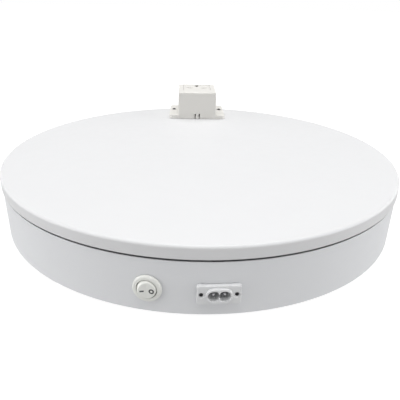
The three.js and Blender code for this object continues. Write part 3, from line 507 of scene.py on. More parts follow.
def base_shell():
    inner = BASE_RADIUS - BASE_WALL
    shell = lathe(rounded([
        (inner, base_low.z, 0.3),
        (BASE_RADIUS, base_low.z, 0.9),
        (BASE_RADIUS, base_high.z, 0.35),
        (BASE_RADIUS - LIP_WIDTH, base_high.z, 0.35),
        (BASE_RADIUS - LIP_WIDTH, FLANGE_TOP, 0.4),
        (FLANGE_INNER, FLANGE_TOP, 0.4),
        (FLANGE_INNER, FLANGE_BOTTOM, 0.4),
        (inner, FLANGE_BOTTOM, 1.5),
    ]), 256)
    boss_radius, web_half, boss_top = 5, 1.5, FLANGE_BOTTOM + 1
    extras = around(lambda: cylinder(boss_radius, BOSS_FOOT, boss_top), SCREW_CIRCLE, SCREW_ANGLES)
    extras += around(lambda: box((0, inner + 1 - SCREW_CIRCLE), (-web_half, web_half), (BOSS_FOOT, boss_top)),
                     SCREW_CIRCLE, SCREW_ANGLES)
    switch_seat = cylinder(BEZEL_RADIUS - 0.5, BEZEL_BACK - SEAT_DEPTH, BEZEL_BACK - GAP, 96)
    extras.append(moved(switch_seat, in_mm(switch_place)))
    seat_outline = rounded_rectangle(FLANGE["width"] - 1, FLANGE["height"] - 1, 1.4)
    extras.append(moved(prism(seat_outline, -SEAT_DEPTH, -GAP), in_mm(inlet_place)))
    shell = join(shell, *extras)
    holes = [moved(cylinder(BARREL_RADIUS + GAP, -20, 8, 96), in_mm(switch_place))]
    shank = rounded_rectangle(SHANK["width"] + 2 * GAP, SHANK["height"] + 2 * GAP, 0.5, 2)
    holes.append(moved(prism(shank, -20, 5), in_mm(inlet_place)))
    for side in (-1, 1):
        holes.append(moved(cylinder(1.4, -20, 5), in_mm(inlet_place), shift(side * INLET_SCREW_X, 0, 0)))
    holes += around(lambda: cylinder(PILOT, 0, 24), SCREW_CIRCLE, SCREW_ANGLES)
    return cut(shell, *holes)


def foot(height):
    """A rubber foot with a cup and a ring groove in its sole."""
    sole = rounded([
        (0, 0.5), (2.6, 0.5, 0.2), (2.9, 0, 0.2), (4.6, 0, 0.2), (4.9, 0.5, 0.2), (5.3, 0.5, 0.2),
        (5.6, 0, 0.2), (7.3, 0, 0.7), (8, height, 0.25), (0, height),
    ], closed=False)
    return lathe(sole, 64)


piece("base_housing", base_shell(), "base_shell")
for number in range(1, 5):
    low, high = extent(f"foot_{number}")
    middle = (low + high) / 2
    sole = moved(foot(high.z), shift(middle.x, middle.y, 0))
    piece(f"rubber_foot_{number}", sole, f"foot_{number}")


# ---- fasteners


def phillips(width, depth):
    """The tapered cross that a driver fits, pointing down from z = 0."""
    blades = []
    for half_length, half_width in ((width / 2, 0.42), (0.42, width / 2)):
        top = [(-half_length, -half_width), (half_length, -half_width), (half_length, half_width),
               (-half_length, half_width)]
        blades.append(loft([
            [(x * 0.45, y * 0.45, -depth) for x, y in top],
            [(x, y, 0.3) for x, y in top],
        ]))
    return blades


def threaded(radius, top, tip, pitch=0.9):
    """Profile of a screw shaft from its tip up to the head: ridges with a pointed end."""
    points = [(0, tip), (radius * 0.5, tip + radius * 0.7)]
    z = tip + radius * 1.2
    while z < top - pitch:
        points += [(radius - 0.28, z), (radius, z + pitch * 0.4), (radius - 0.28, z + pitch * 0.8)]
        z += pitch
    return points + [(radius - 0.2, top)]


def countersunk_screw(head_radius, shaft_radius, length):
    """Head up, with its flat top at z = 0."""
    head = [(head_radius, -0.35), (head_radius - 0.12, -0.04), (head_radius - 0.4, 0), (0, 0)]
    neck = -0.35 - (head_radius - shaft_radius)
    return cut(lathe(threaded(shaft_radius, neck, -length) + head, 48), *phillips(head_radius * 1.15, 1.1))


def pan_screw(head_radius, head_height, shaft_radius, length):
    """Head up, with the top of its head at z = 0."""
    edge = head_height * 0.45
    dome = rounded([(shaft_radius, 0), (head_radius, 0, 0.15), (head_radius, edge, edge * 0.8),
                    (head_radius * 0.6, head_height, 1.2), (0, head_height)], closed=False)
    screw = lathe(threaded(shaft_radius, -0.01, head_height - length) + dome, 48)
    moved(screw, shift(0, 0, -head_height))
    return cut(screw, *phillips(head_radius * 1.1, 1.0))


def fasten(name, node, make, head_down=False, place=HERE):
    """Puts the screw that make(length) returns where its CAD node is."""
    low, high = extent(node, place)
    middle = (low + high) / 2
    if head_down:
        seat = shift(middle.x, middle.y, low.z) @ turn("X", 180)
    else:
        seat = shift(middle.x, middle.y, high.z)
    piece(name, moved(make(high.z - low.z), seat), node, place)


for number in range(1, 5):
    fasten(f"cover_fixing_{number}", f"cover_screw_{number}",
           lambda length: countersunk_screw(3, 1.5, length), head_down=True)


# ---- disc

disc_low, disc_high = extent("disc")
DISC_RADIUS = disc_high.x
CEILING = disc_high.z - 4
BOSS_BOTTOM = disc_low.z
BOSS_RADIUS = 4.5
DISC_BOTTOM = extent("retaining_clip")[0].z - 0.5
SKIRT_BOTTOM = base_high.z + 2
ROLLER_CIRCLE = Vector(joints["roller_1_spin"]["pos_m"]).xy.length / MM
HUB_RADIUS = 22
GEAR_SCREW_CIRCLE = 57
GEAR_SCREW_ANGLES = (30, 150, 270)
EAR_SCREW = (33.3, 178)
LEAD_EXIT = 152


def disc():
    bottom, top = DISC_BOTTOM, disc_high.z
    body = lathe(rounded([
        (0, CEILING),
        (ROLLER_CIRCLE - 5, CEILING, 1), (ROLLER_CIRCLE - 5, bottom, 0.5),
        (ROLLER_CIRCLE + 5, bottom, 0.5), (ROLLER_CIRCLE + 5, CEILING, 1),
        (DISC_RADIUS - 3.5, CEILING, 1), (DISC_RADIUS - 3.5, SKIRT_BOTTOM, 0.4),
        (DISC_RADIUS, SKIRT_BOTTOM, 0.9), (DISC_RADIUS, top, 2.7),
        (DISC_RADIUS - 12, top), (DISC_RADIUS - 60, top), (60, top), (0, top),
    ], closed=False, steps=8), 256)
    extras = [lathe([(16, bottom), (HUB_RADIUS, bottom), (HUB_RADIUS, CEILING + 1), (16, CEILING + 1)], 96)]
    extras += copies(lambda: box((HUB_RADIUS - 1, ROLLER_CIRCLE - 4), (-1, 1), (CEILING - 5, CEILING + 1)), 6)
    extras += around(lambda: cylinder(BOSS_RADIUS, BOSS_BOTTOM, CEILING + 1),
                     GEAR_SCREW_CIRCLE, GEAR_SCREW_ANGLES)
    holes = around(lambda: cylinder(PILOT, 42, 56), GEAR_SCREW_CIRCLE, GEAR_SCREW_ANGLES)
    for side in (-1, 1):
        screw_place = shift(side * EAR_SCREW[0], EAR_SCREW[1], 0)
        extras.append(moved(cylinder(BOSS_RADIUS, 54, CEILING + 1), outlet_place, screw_place))
        holes.append(moved(cylinder(PILOT, 50, top + 1), outlet_place, screw_place))
    holes.append(moved(cylinder(3.6, CEILING - 1, top + 1), outlet_place, shift(0, LEAD_EXIT, 0)))
    return cut(join(body, *extras), *holes)


# The disc is the shell's white plastic painted a little darker. This painted shade stops its brightly lit top and
# rim from showing brighter than the wall.
disc_white_painted_shade = moulded_plastic("disc_white_painted_shade", (0.672, 0.674, 0.681), 0.5, warmth=0.99,
                             Specular_IOR_Level=0.4)
piece("turning_disc", disc(), "disc", surface=disc_white_painted_shade)


# ---- outlet on the rear edge

cover_low, cover_high = extent("outlet_cover", outlet_place)
insert_low, insert_high = extent("outlet_insert", outlet_place)
BODY_WIDTH, BODY_TOP_WIDTH = 54, 53
WALL = 2.2
EAR_THICKNESS = 4.8
EAR_SLOT = (7.6, 3.6)
INSERT_THICKNESS = 3
THIN_WALL = 1
TAB_SLIT = (2.9, 0.8, 7)
PIN_SLOTS = {"width": 9, "depth": 5.2, "x": 10.4, "y": 181, "tilt": 18}
EARTH_SLOT = {"width": 5, "depth": 10, "y": 195}


def drafted_block(width, top_width, front, rear, z0, z1, radius, top_edge):
    """A block that narrows upwards, with rounded upright edges and a rounded top edge."""
    depth = rear - front
    steps = 5
    levels = [(width, 0, z0), (top_width, 0, z1 - top_edge)]
    for k in range(1, steps + 1 if top_edge else 1):
        angle = math.pi / 2 * k / steps
        levels.append((top_width, top_edge * (1 - math.cos(angle)), z1 - top_edge * (1 - math.sin(angle))))
    middle = (front + rear) / 2
    loops = []
    for level_width, inset, z in levels:
        fillet = max(radius - inset * 0.5, 0.1)
        outline = rounded_rectangle(level_width - 2 * inset, depth - 2 * inset, fillet)
        loops.append([(x, y + middle, z) for x, y in outline])
    return loft(loops)


def outlet_cover():
    """The outlet's box with its two screw ears, and a snap tab between two slits at its foot."""
    front, rear = cover_low.y, cover_high.y
    bottom, top = cover_low.z, cover_high.z
    half = cover_high.x
    chamfer = 3
    body = drafted_block(BODY_WIDTH, BODY_TOP_WIDTH, front, rear, bottom, top, 1.6, 1.2)
    ear_outline = rounded([
        (-half, front + chamfer, 0.8), (-half + chamfer, front, 0.8), (half - chamfer, front, 0.8),
        (half, front + chamfer, 0.8), (half, rear - chamfer, 0.8), (half - chamfer, rear, 0.8),
        (-half + chamfer, rear, 0.8), (-half, rear - chamfer, 0.8),
    ])
    middle = (front + rear) / 2

    def inset_ears(inset):
        across, along = (half - inset) / half, (rear - front - 2 * inset) / (rear - front)
        return [(x * across, middle + (y - middle) * along) for x, y in ear_outline]

    ears = slab(inset_ears, bottom, bottom + EAR_THICKNESS, top=0.7)
    hollow = drafted_block(BODY_WIDTH - 2 * WALL, BODY_TOP_WIDTH - 2 * WALL, front + WALL, rear - WALL,
                           bottom - 1, top - WALL, 0.6, 0)
    opening = rounded_rectangle(insert_high.x * 2 + 2 * GAP, insert_high.y - insert_low.y + 2 * GAP, 1.1)
    insert_middle = (insert_low.y + insert_high.y) / 2
    tools = [hollow, moved(prism(opening, top - WALL - 1, top + 1), shift(0, insert_middle, 0))]
    slit_x, slit_half, slit_height = TAB_SLIT
    ear_slot = rounded_rectangle(*EAR_SLOT, EAR_SLOT[1] / 2 - 0.05)
    for side in (-1, 1):
        tools.append(box((side * slit_x - slit_half, side * slit_x + slit_half),
                         (front - 1, front + WALL + 1), (bottom - 1, bottom + slit_height)))
        slot = prism(ear_slot, bottom - 1, bottom + EAR_THICKNESS + 1)
        tools.append(moved(slot, shift(side * EAR_SCREW[0], EAR_SCREW[1], 0)))
    return soften(cut(join(body, ears), *tools), 0.25, 2, 50)


def flared(width, depth, radius, top, flare):
    """The tool for a slot whose mouth widens by the flare all round."""
    levels = [(0, top - 8), (0, top - flare), (flare * 0.4, top - flare * 0.4), (flare, top),
              (flare, top + 1)]
    loops = []
    for grow, z in levels:
        outline = rounded_rectangle(width + 2 * grow, depth + 2 * grow, radius + grow)
        loops.append([(x, y, z) for x, y in outline])
    return loft(loops)


def outlet_insert():
    """The socket's face, thinned from below round the earth slot."""
    half, top = insert_high.x, insert_high.z
    front, rear = insert_low.y, insert_high.y
    width, depth, middle = 2 * half, rear - front, (front + rear) / 2
    plate = slab(shrinking(width, depth, 0.9), top - INSERT_THICKNESS, top, top=0.4)
    moved(plate, shift(0, middle, 0))
    skirts = [box(xs, (front + 2, rear - 2), (insert_low.z, top - INSERT_THICKNESS + 0.5))
              for xs in ((-half, -half + 1.6), (half - 1.6, half))]
    tools = []
    for side in (-1, 1):
        slot = flared(PIN_SLOTS["width"], PIN_SLOTS["depth"], 1.2, top, 0.5)
        place = shift(side * PIN_SLOTS["x"], PIN_SLOTS["y"], 0) @ turn("Z", side * PIN_SLOTS["tilt"])
        tools.append(moved(slot, place))
    earth = flared(EARTH_SLOT["width"], EARTH_SLOT["depth"], 2, top, 0.15)
    tools.append(moved(earth, shift(0, EARTH_SLOT["y"], 0)))
    thin = top - THIN_WALL
    reach = EARTH_SLOT["depth"] * 0.7
    tools.append(box((-EARTH_SLOT["width"], EARTH_SLOT["width"]),
                     (EARTH_SLOT["y"] - reach, EARTH_SLOT["y"] + reach), (thin - INSERT_THICKNESS, thin)))
    return soften(cut(join(plate, *skirts), *tools), 0.15, 2, 60)


shutter_low, shutter_high = extent("outlet_shutter", outlet_place)


def outlet_shutter():
    """A sliding plate with a ramp at each slot, which the plug's pins push aside."""
    plate = box(*zip(shutter_low, shutter_high))
    ramps = []
    for side in (-1, 1):
        x = side * PIN_SLOTS["x"]
        side_view = [(-3.4, 1), (3.8, 1), (3.8, -1.5)]
        ramp = moved(prism(side_view, -3.5, 3.5), turn("Z", 90), turn("X", 90))
        ramps.append(moved(ramp, shift(x, PIN_SLOTS["y"], shutter_high.z)))
    return soften(cut(plate, *ramps), 0.2, 2, 30)


piece("outlet_housing", outlet_cover(), "outlet_cover", outlet_place)
piece("outlet_face", outlet_insert(), "outlet_insert", outlet_place)
piece("pin_shutter", outlet_shutter(), "outlet_shutter", outlet_place)
for side_name in ("left", "right"):
    fasten(f"outlet_fixing_{side_name}", f"outlet_screw_{side_name}",
           lambda length: pan_screw(2.3, 1.2, 1.5, length), place=outlet_place)


# ---- rocker switch

ROCKER_SPHERE = 7.7
ROCKER_FRONT, ROCKER_BACK = 3.3, -6
ROCKER_TILT = -sum(joints["rocker_tilt"]["range_deg"]) / 2
POCKET_RADIUS = 8.1
MARK_X, MARK_Y = 3.6, -0.3
TERMINAL_X = 4


def switch_housing():
    back = switch_low.z + 6
    pocket_floor = BEZEL_BACK - 11
    bezel = lathe(rounded([
        (0, back), (BARREL_RADIUS, back, 0.6), (BARREL_RADIUS, BEZEL_BACK),
        (BEZEL_RADIUS, BEZEL_BACK, 0.15), (BEZEL_RADIUS, BEZEL_FRONT, 1.7),
        (POCKET_RADIUS, BEZEL_FRONT, 0.45), (POCKET_RADIUS, pocket_floor, 0.5), (0, pocket_floor),
    ], closed=False, steps=8), 128)
    dimples = around(lambda: moved(cylinder(1.3, POCKET_RADIUS - 0.8, POCKET_RADIUS + 0.75), turn("X", -90)),
                     0, (0, 180))
    return cut(bezel, *dimples)


def smooth_minimum(first, second, reach):
    overlap = max(reach - abs(first - second), 0) / reach
    return min(first, second) - overlap * overlap * reach / 4


def rocker_button():
    """A ball with a shallow V across its front, which meets the ball in a soft edge."""
    spokes, rings = 128, 64
    crease, edge = 0.3, 0.9
    slope = math.tan(math.radians(ROCKER_TILT))
    lowest = math.degrees(math.acos(ROCKER_BACK / ROCKER_SPHERE))
    loops = []
    for k in range(1, rings + 1):
        polar = math.radians(lowest * (k / rings) ** 0.9)
        radius, height = ROCKER_SPHERE * math.sin(polar), ROCKER_SPHERE * math.cos(polar)
        loop = []
        for i in range(spokes):
            angle = 2 * math.pi * i / spokes
            x, y, z = radius * math.cos(angle), radius * math.sin(angle), height
            if height > 0:
                valley = ROCKER_FRONT + slope * (math.sqrt(x * x + crease) - math.sqrt(crease))
                z = smooth_minimum(valley, height, edge)
            loop.append((x, y, z))
        loops.append(loop)
    button = loft(loops)
    pivot = cylinder(1, -POCKET_RADIUS - 0.4, POCKET_RADIUS + 0.4)
    return join(button, moved(pivot, turn("X", 90)))


def rocker_marks():
    """A dash on the left wing and a ring on the right wing, each a hair above the surface."""
    root, face, sunk = -0.3, 0.05, 0.1
    ring = lathe(rounded([(0.95, root), (2.1, root), (2.1, face, 0.05), (0.95, face, 0.05)]), 64)
    dash = slab(shrinking(3.3, 1.25, 0.3), root, face, top=0.05)
    marks = []
    for form, side in ((dash, -1), (ring, 1)):
        z = ROCKER_FRONT + MARK_X * math.tan(math.radians(ROCKER_TILT)) - sunk
        marks.append(moved(form, shift(side * MARK_X, MARK_Y, z), turn("Y", -side * ROCKER_TILT)))
    return marks


def switch_terminal(side):
    """A flat blade with a hole in it, for a push-on connector."""
    thickness, width, length, hole_height = 0.8, 4.8, 6.4, 2.4
    blade = slab(shrinking(thickness, width, 0.1), switch_low.z, switch_low.z + length, bottom=0.25)
    hole = moved(cylinder(0.8, -8, 8), shift(0, 0, switch_low.z + hole_height), turn("Y", 90))
    return cut(moved(blade, shift(side * TERMINAL_X, 0, 0)), hole)


rocker_place = switch_place @ turn("Y", ROCKER_TILT)
switch_white = moulded_plastic("switch_white", (0.775, 0.78, 0.745), 0.34, 0.3, 0.012)
piece("switch_housing", switch_housing(), "switch_body", switch_place, switch_white)
piece("rocker_button", rocker_button(), "switch_rocker", rocker_place, switch_white)
for mark_name, mark in zip(("rocker_mark_on", "rocker_mark_off"), rocker_marks()):
    extra_piece(mark_name, mark, "rocker", "fitting_white", rocker_place, mark_ink)
for side_name, side in (("left", -1), ("right", 1)):
    extra_piece(f"switch_terminal_{side_name}", switch_terminal(side), "base", "brass", switch_place)


# ---- mains inlet

PIN_X = 4.3
RECESS_DEPTH = 15


def figure_eight(grow):
    """Two lobes with round outer sides, parted by a thin rib above and below the middle."""
    lobe, waist, rib = 4.25 + grow, 1.7 + grow, 0.45 - grow * 0.5
    lower_corner = rounded([(rib, -waist), (rib, -lobe, 2.4), (PIN_X, -lobe)], closed=False)
    upper_corner = [(x, -y) for x, y in lower_corner[::-1]]
    right = lower_corner + arc(PIN_X, 0, lobe, -90, 90, 20)[1:-1] + upper_corner
    left = [(-x, y) for x, y in right[::-1]]
    return right + left


def inlet_housing():
    """The inlet's flange and oval collar, with the figure-8 recess and two countersunk holes."""
    flange_width, flange_height, thickness = FLANGE["width"], FLANGE["height"], FLANGE["thickness"]
    flange = slab(lambda inset: rounded_rectangle(flange_width - 2 * inset, flange_height - 2 * inset,
                                                  max(1.8 - inset, 0.2)), 0, thickness, top=0.8, bottom=0.2)
    collar_width, collar_height = COLLAR["width"], COLLAR["height"]
    collar = slab(lambda inset: rounded_rectangle(collar_width - 2 * inset, collar_height - 2 * inset,
                                                  collar_height / 2 - 0.1 - inset, 16),
                  thickness - 1, INLET_PROUD, top=0.9, steps=5)
    shank = prism(rounded_rectangle(SHANK["width"], SHANK["height"], 0.6, 3), -14, 1)
    mouth = 0.55
    levels = [(0, INLET_PROUD - RECESS_DEPTH), (0, INLET_PROUD - mouth),
              (mouth * 0.13, INLET_PROUD - mouth * 0.5), (mouth * 0.5, INLET_PROUD - mouth * 0.13),
              (mouth, INLET_PROUD), (mouth, INLET_PROUD + 1)]
    recess = loft([[(x, y, z) for x, y in figure_eight(grow)] for grow, z in levels])
    tools = [recess]
    shaft = INLET_SCREW["shaft"] + GAP
    mouth_radius = INLET_SCREW["head"] + INLET_SCREW["depth"] + GAP
    throat = thickness - (mouth_radius - shaft)
    sink = [(0, -6), (shaft, -6), (shaft, throat), (mouth_radius, thickness),
            (mouth_radius, thickness + 1), (0, thickness + 1)]
    for side in (-1, 1):
        tools.append(moved(cylinder(1.25, -20, 0), shift(side * PIN_X, 0, 0)))
        tools.append(moved(lathe(sink, 64), shift(side * INLET_SCREW_X, 0, 0)))
    return cut(join(flange, collar, shank), *tools)


def inlet_pin(back, tip):
    return lathe(rounded([(0, back), (1.2, back, 0.2), (1.2, tip, 0.9), (0, tip)], closed=False), 48)


piece("inlet_housing", inlet_housing(), "inlet_body", inlet_place)
for side_name, side in (("left", -1), ("right", 1)):
    low, high = extent(f"inlet_pin_{side_name}", inlet_place)
    pin = moved(inlet_pin(low.z, high.z), shift(side * PIN_X, 0, 0))
    piece(f"contact_pin_{side_name}", pin, f"inlet_pin_{side_name}", inlet_place)
    fasten(f"inlet_fixing_{side_name}", f"inlet_screw_{side_name}",
           lambda length: countersunk_screw(INLET_SCREW["head"], INLET_SCREW["shaft"], length),
           place=inlet_place)


# ---- bottom cover and rollers

plate_low, plate_high = extent("bottom_cover")
COVER_TOP = plate_low.z + 3
BOSS_TOP = 13
POST_HOLE = 6.5
AXLE_HEIGHT = joints["roller_1_spin"]["pos_m"][2] / MM
ROLLER_ANGLES = [45, 135, 225, 315]
FORK_INNER, FORK_THICKNESS = 5.3, 3
MOTOR_X = joints["pinion_spin"]["pos_m"][0] / MM
MOTOR_EAR_Y = 30
motor_low, motor_high = extent("motor")
MOTOR_TOP = 30


def fork(offset):
    """A plate that carries one end of a roller axle."""
    side_view = [(-9, COVER_TOP - 1), (9, COVER_TOP - 1)] + arc(0, AXLE_HEIGHT, 6, 0, 180, 16)
    plate = prism(side_view, 0, FORK_THICKNESS)
    return moved(plate, shift(ROLLER_CIRCLE + offset, 0, 0), turn("Z", 90), turn("X", 90))


def bottom_cover():
    """The plate under the base, with its spindle boss, roller forks, motor posts, screw holes and vents."""
    low, outer = plate_low.z, plate_high.x
    plate = lathe(rounded([
        (POST_HOLE, 9.2, 0.2), (14, 9.2, 0.4), (14, low, 0.6), (outer, low, 0.7), (outer, COVER_TOP, 0.4),
        (30, COVER_TOP, 1.5), (30, BOSS_TOP, 0.8), (POST_HOLE, BOSS_TOP, 0.5),
    ]), 192)
    extras = []
    for offset in (-FORK_INNER - FORK_THICKNESS, FORK_INNER):
        extras += around(lambda: fork(offset), 0, ROLLER_ANGLES)
    holes = around(lambda: moved(cylinder(2.8, -12, 12), shift(0, 0, AXLE_HEIGHT), turn("Y", 90)),
                   ROLLER_CIRCLE, ROLLER_ANGLES)
    for side in (-1, 1):
        post_place = shift(MOTOR_X, side * MOTOR_EAR_Y, 0)
        extras.append(moved(cylinder(4, COVER_TOP - 1, MOTOR_TOP - 1.3), post_place))
        holes.append(moved(cylinder(PILOT, COVER_TOP + 4, MOTOR_TOP), post_place))
    sink = [(0, -1), (3.36, -1), (3.36, 0.4), (1.86, 1.9), (1.86, 6), (0, 6)]
    holes += around(lambda: moved(lathe(sink, 48), shift(0, 0, low)), SCREW_CIRCLE, SCREW_ANGLES)
    for y in range(-16, 17, 8):
        vent = prism(rounded_rectangle(30, 3.4, 1.65), 0, COVER_TOP + 1)
        holes.append(moved(vent, shift(MOTOR_X, y, 0)))
    return cut(join(plate, *extras), *holes)


def mirrored(side):
    """A closed profile from its upper half, given from the middle outwards."""
    return [(radius, -z, *fillet) for radius, z, *fillet in side] + side[::-1]


def roller_wheel():
    half = 4.5
    side = [(2.8, half, 0.2), (5.5, half, 0.4), (5.5, half - 1.1, 0.4), (11, half - 1.1, 0.4),
            (11, half, 0.4), (14, half, 1)]
    return lathe(rounded(mirrored(side)), 96)


def roller_axle():
    side = [(0, 9), (2.5, 9, 0.5), (2.5, 8.7, 0.05), (2.1, 8.7, 0.05), (2.1, 8.2, 0.05), (2.5, 8.2, 0.05)]
    return lathe(rounded(mirrored(side), closed=False), 48)


piece("floor_cover", bottom_cover(), "bottom_cover")
for number, angle in enumerate(ROLLER_ANGLES, 1):
    place = turn("Z", angle) @ shift(ROLLER_CIRCLE * MM, 0, AXLE_HEIGHT * MM) @ turn("Y", 90)
    piece(f"track_roller_{number}", roller_wheel(), f"roller_wheel_{number}", place)
    piece(f"roller_pin_{number}", roller_axle(), f"roller_axle_{number}", place)


# ---- spindle and thrust bearing

POST_RADIUS = 9.85
clip_low, clip_high = extent("retaining_clip")
BALL_CIRCLE, BALL_RADIUS = 13.75, 2.4


def spindle():
    low, high = extent("spindle")
    flange, groove = BOSS_TOP + GAP, POST_RADIUS - 1.6
    groove_bottom, groove_top = clip_low.z - GAP, clip_high.z + GAP
    thread = [(point[0] + 3.05, point[1]) for point in threaded(2.9, flange - 0.4, low.z - 2.9, 1.25)[2:]]
    post = rounded([
        (6, flange, 0.1), (28, flange, 0.5), (28, flange + 3, 0.6), (18, flange + 3, 1.2),
        (18, 22, 0.4), (POST_RADIUS, 22, 0.2), (POST_RADIUS, groove_bottom, 0.1),
        (groove, groove_bottom, 0.1), (groove, groove_top, 0.1), (POST_RADIUS, groove_top, 0.1),
        (POST_RADIUS, high.z, 1), (0, high.z),
    ], closed=False)
    return lathe([(0, low.z), (5.2, low.z)] + thread + post, 96)


def spindle_nut():
    low, high = extent("spindle_nut")

    def hexagon(inset):
        return arc(0, 0, (high.y - inset) / math.cos(math.radians(30)), 0, 300, 5)

    return cut(slab(hexagon, low.z, high.z, top=0.5, bottom=0.5), cylinder(6.2, low.z - 1, high.z + 1, 64))


def washer(node, groove_up):
    """A hardened washer with a shallow race for the balls."""
    low, high = extent(node)
    race = arc(BALL_CIRCLE, 0, 1.6, 0, 180, 12)
    side = [(17.5, 0)] + [(r, -0.22 * h) for r, h in race] + [(10.3, 0)]
    thick = high.z - low.z
    edges = [(10.2, -0.3), (10.2, 0.3 - thick), (10.5, -thick), (17.2, -thick), (17.5, 0.3 - thick)]
    ring = lathe(side + edges, 96)
    if groove_up:
        return moved(ring, shift(0, 0, high.z))
    return moved(ring, shift(0, 0, low.z), turn("X", 180))


def ball_cage():
    cage = lathe(rounded([(11.4, -1, 0.3), (16.2, -1, 0.3), (16.2, 1, 0.3), (11.4, 1, 0.3)]), 96)
    balls = around(lambda: lathe(arc(0, 0, BALL_RADIUS, -90, 90, 20), 40), BALL_CIRCLE, range(0, 360, 36))
    return join(cage, *balls)


def retaining_clip():
    inner, outer = POST_RADIUS - 1.3, 13.5
    ring = lathe(rounded([(inner, clip_low.z, 0.2), (outer, clip_low.z, 0.2), (outer, clip_high.z, 0.2),
                          (inner, clip_high.z, 0.2)]), 96)
    return soften(cut(ring, box((0, 20), (-6.2, 6.2), (clip_low.z - 1, clip_high.z + 1))), 0.15, 2, 60)


piece("spindle_post", spindle(), "spindle")
piece("spindle_lock_nut", spindle_nut(), "spindle_nut")
piece("thrust_washer_lower", washer("bearing_lower_washer", True), "bearing_lower_washer")
piece("thrust_washer_upper", washer("bearing_upper_washer", False), "bearing_upper_washer")
piece("thrust_ball_cage", ball_cage(), "bearing_cage", Matrix.Translation(joints["ball_cage_spin"]["pos_m"]))
piece("spindle_clip", retaining_clip(), "retaining_clip")


# ---- gear drive

GEAR_MODULE = 2
GEAR_TEETH, PINION_TEETH = 70, 14
PRESSURE_ANGLE = math.radians(20)
BACKLASH = 0.3
ADDENDUM, DEDENDUM = 0.8 * GEAR_MODULE, 1.05 * GEAR_MODULE
GEAR_BOTTOM, GEAR_TOP = 37, 45
WEB_BOTTOM, WEB_TOP = 39, 43


def involute(angle):
    return math.tan(angle) - angle


def gear_outline(teeth, steps):
    """A spur gear's outline, with one tooth centred on +X."""
    pitch_radius = GEAR_MODULE * teeth / 2
    base_radius = pitch_radius * math.cos(PRESSURE_ANGLE)
    half_angle = math.pi / (2 * teeth) - BACKLASH / (2 * pitch_radius)
    flank = []
    for k in range(steps + 1):
        radius = pitch_radius - DEDENDUM + (ADDENDUM + DEDENDUM) * k / steps
        pressure = math.acos(min(1, base_radius / radius))
        flank.append((radius, half_angle + involute(PRESSURE_ANGLE) - involute(pressure)))
    outline = []
    for tooth in range(teeth):
        centre = 2 * math.pi * tooth / teeth
        for side, points in ((-1, flank), (1, flank[::-1])):
            outline += [(radius * math.cos(centre + side * offset), radius * math.sin(centre + side * offset))
                        for radius, offset in points]
    return outline


def toothed_wheel(teeth, steps, z0, z1, chamfer=0.35):
    outline = gear_outline(teeth, steps)
    shrink = 1 - chamfer / (GEAR_MODULE * teeth / 2)
    levels = [(shrink, z0), (1, z0 + chamfer), (1, z1 - chamfer), (shrink, z1)]
    return loft([[(x * scale, y * scale, z) for x, y in outline] for scale, z in levels])


def drive_gear():
    hub_low, hub_high = [corner.z for corner in extent("drive_gear")]
    rim_inner, bore, lead_hole_y = 62.5, 10.3, 45
    recesses = [lathe([(HUB_RADIUS, z0), (rim_inner, z0), (rim_inner, z1), (HUB_RADIUS, z1)], 128)
                for z0, z1 in ((GEAR_BOTTOM - 1, WEB_BOTTOM), (WEB_TOP, GEAR_TOP + 1))]
    wheel = cut(toothed_wheel(GEAR_TEETH, 4, GEAR_BOTTOM, GEAR_TOP), *recesses)
    hub = lathe(rounded([(bore - 1, hub_low), (HUB_RADIUS, hub_low, 0.6), (HUB_RADIUS, hub_high, 0.6),
                         (bore - 1, hub_high)]), 96)
    ribs = copies(lambda: box((HUB_RADIUS - 1, rim_inner + 1), (-1, 1), (WEB_TOP - 0.5, GEAR_TOP - 0.5)), 6)
    holes = [cylinder(bore, hub_low - 1, hub_high + 1, 96)]
    holes += around(lambda: cylinder(2, WEB_BOTTOM - 1, WEB_TOP + 1), GEAR_SCREW_CIRCLE, GEAR_SCREW_ANGLES)
    holes.append(moved(cylinder(4, WEB_BOTTOM - 1, GEAR_TOP + 1), outlet_place, shift(0, lead_hole_y, 0)))
    return cut(join(wheel, hub, *ribs), *holes)


def pinion():
    low, high = extent("motor_pinion")
    wheel = moved(toothed_wheel(PINION_TEETH, 8, low.z, high.z), turn("Z", 180 / PINION_TEETH))
    return cut(wheel, cylinder(3.7, low.z - 1, high.z + 1, 48))


def motor():
    radius = motor_high.x - MOTOR_X
    bottom, base, shoulder, top = motor_low.z, motor_low.z + 0.6, MOTOR_TOP + 3, motor_high.z
    can = lathe(rounded([
        (0, base), (13, base, 0.3), (13, bottom, 0.3), (17, bottom, 0.3), (17, base, 0.3),
        (radius, base, 1.4), (radius, 18.6, 0.3), (radius - 0.6, 19, 0.3), (radius - 0.6, 19.8, 0.3),
        (radius, 20.2, 0.3), (radius, MOTOR_TOP, 0.7), (8, MOTOR_TOP, 0.4), (8, shoulder, 0.6),
        (3.5, shoulder, 0.1), (3.5, top, 0.5), (0, top),
    ], closed=False), 128)
    ear_outline = arc(0, MOTOR_EAR_Y, 5, 0, 180, 16) + arc(0, -MOTOR_EAR_Y, 5, 180, 360, 16)
    ears = prism(ear_outline, MOTOR_TOP - 1, MOTOR_TOP - 0.02)
    holes = around(lambda: cylinder(2.2, MOTOR_TOP - 2, MOTOR_TOP + 1), MOTOR_EAR_Y, (90, -90))
    flat = box((2.8, 5), (-5, 5), (MOTOR_TOP + 5, top + 1))
    return cut(join(can, ears), flat, *holes)


piece("disc_gear", drive_gear(), "drive_gear")
pinion_place = shift(MOTOR_X * MM, 0, 0)
piece("pinion_gear", pinion(), "motor_pinion", pinion_place)
piece("gear_motor", motor(), "motor", pinion_place)
for number in (1, 2):
    fasten(f"motor_fixing_{number}", f"motor_screw_{number}",
           lambda length: pan_screw(3.4, 2, 1.5, length))
for number in (1, 2, 3):
    fasten(f"gear_fixing_{number}", f"gear_screw_{number}",
           lambda length: pan_screw(3.2, 2, 1.5, length), head_down=True)


# ---- slip ring, contacts and wiring

RING_HALF = 2.25
STANDOFF_CIRCLE = 37


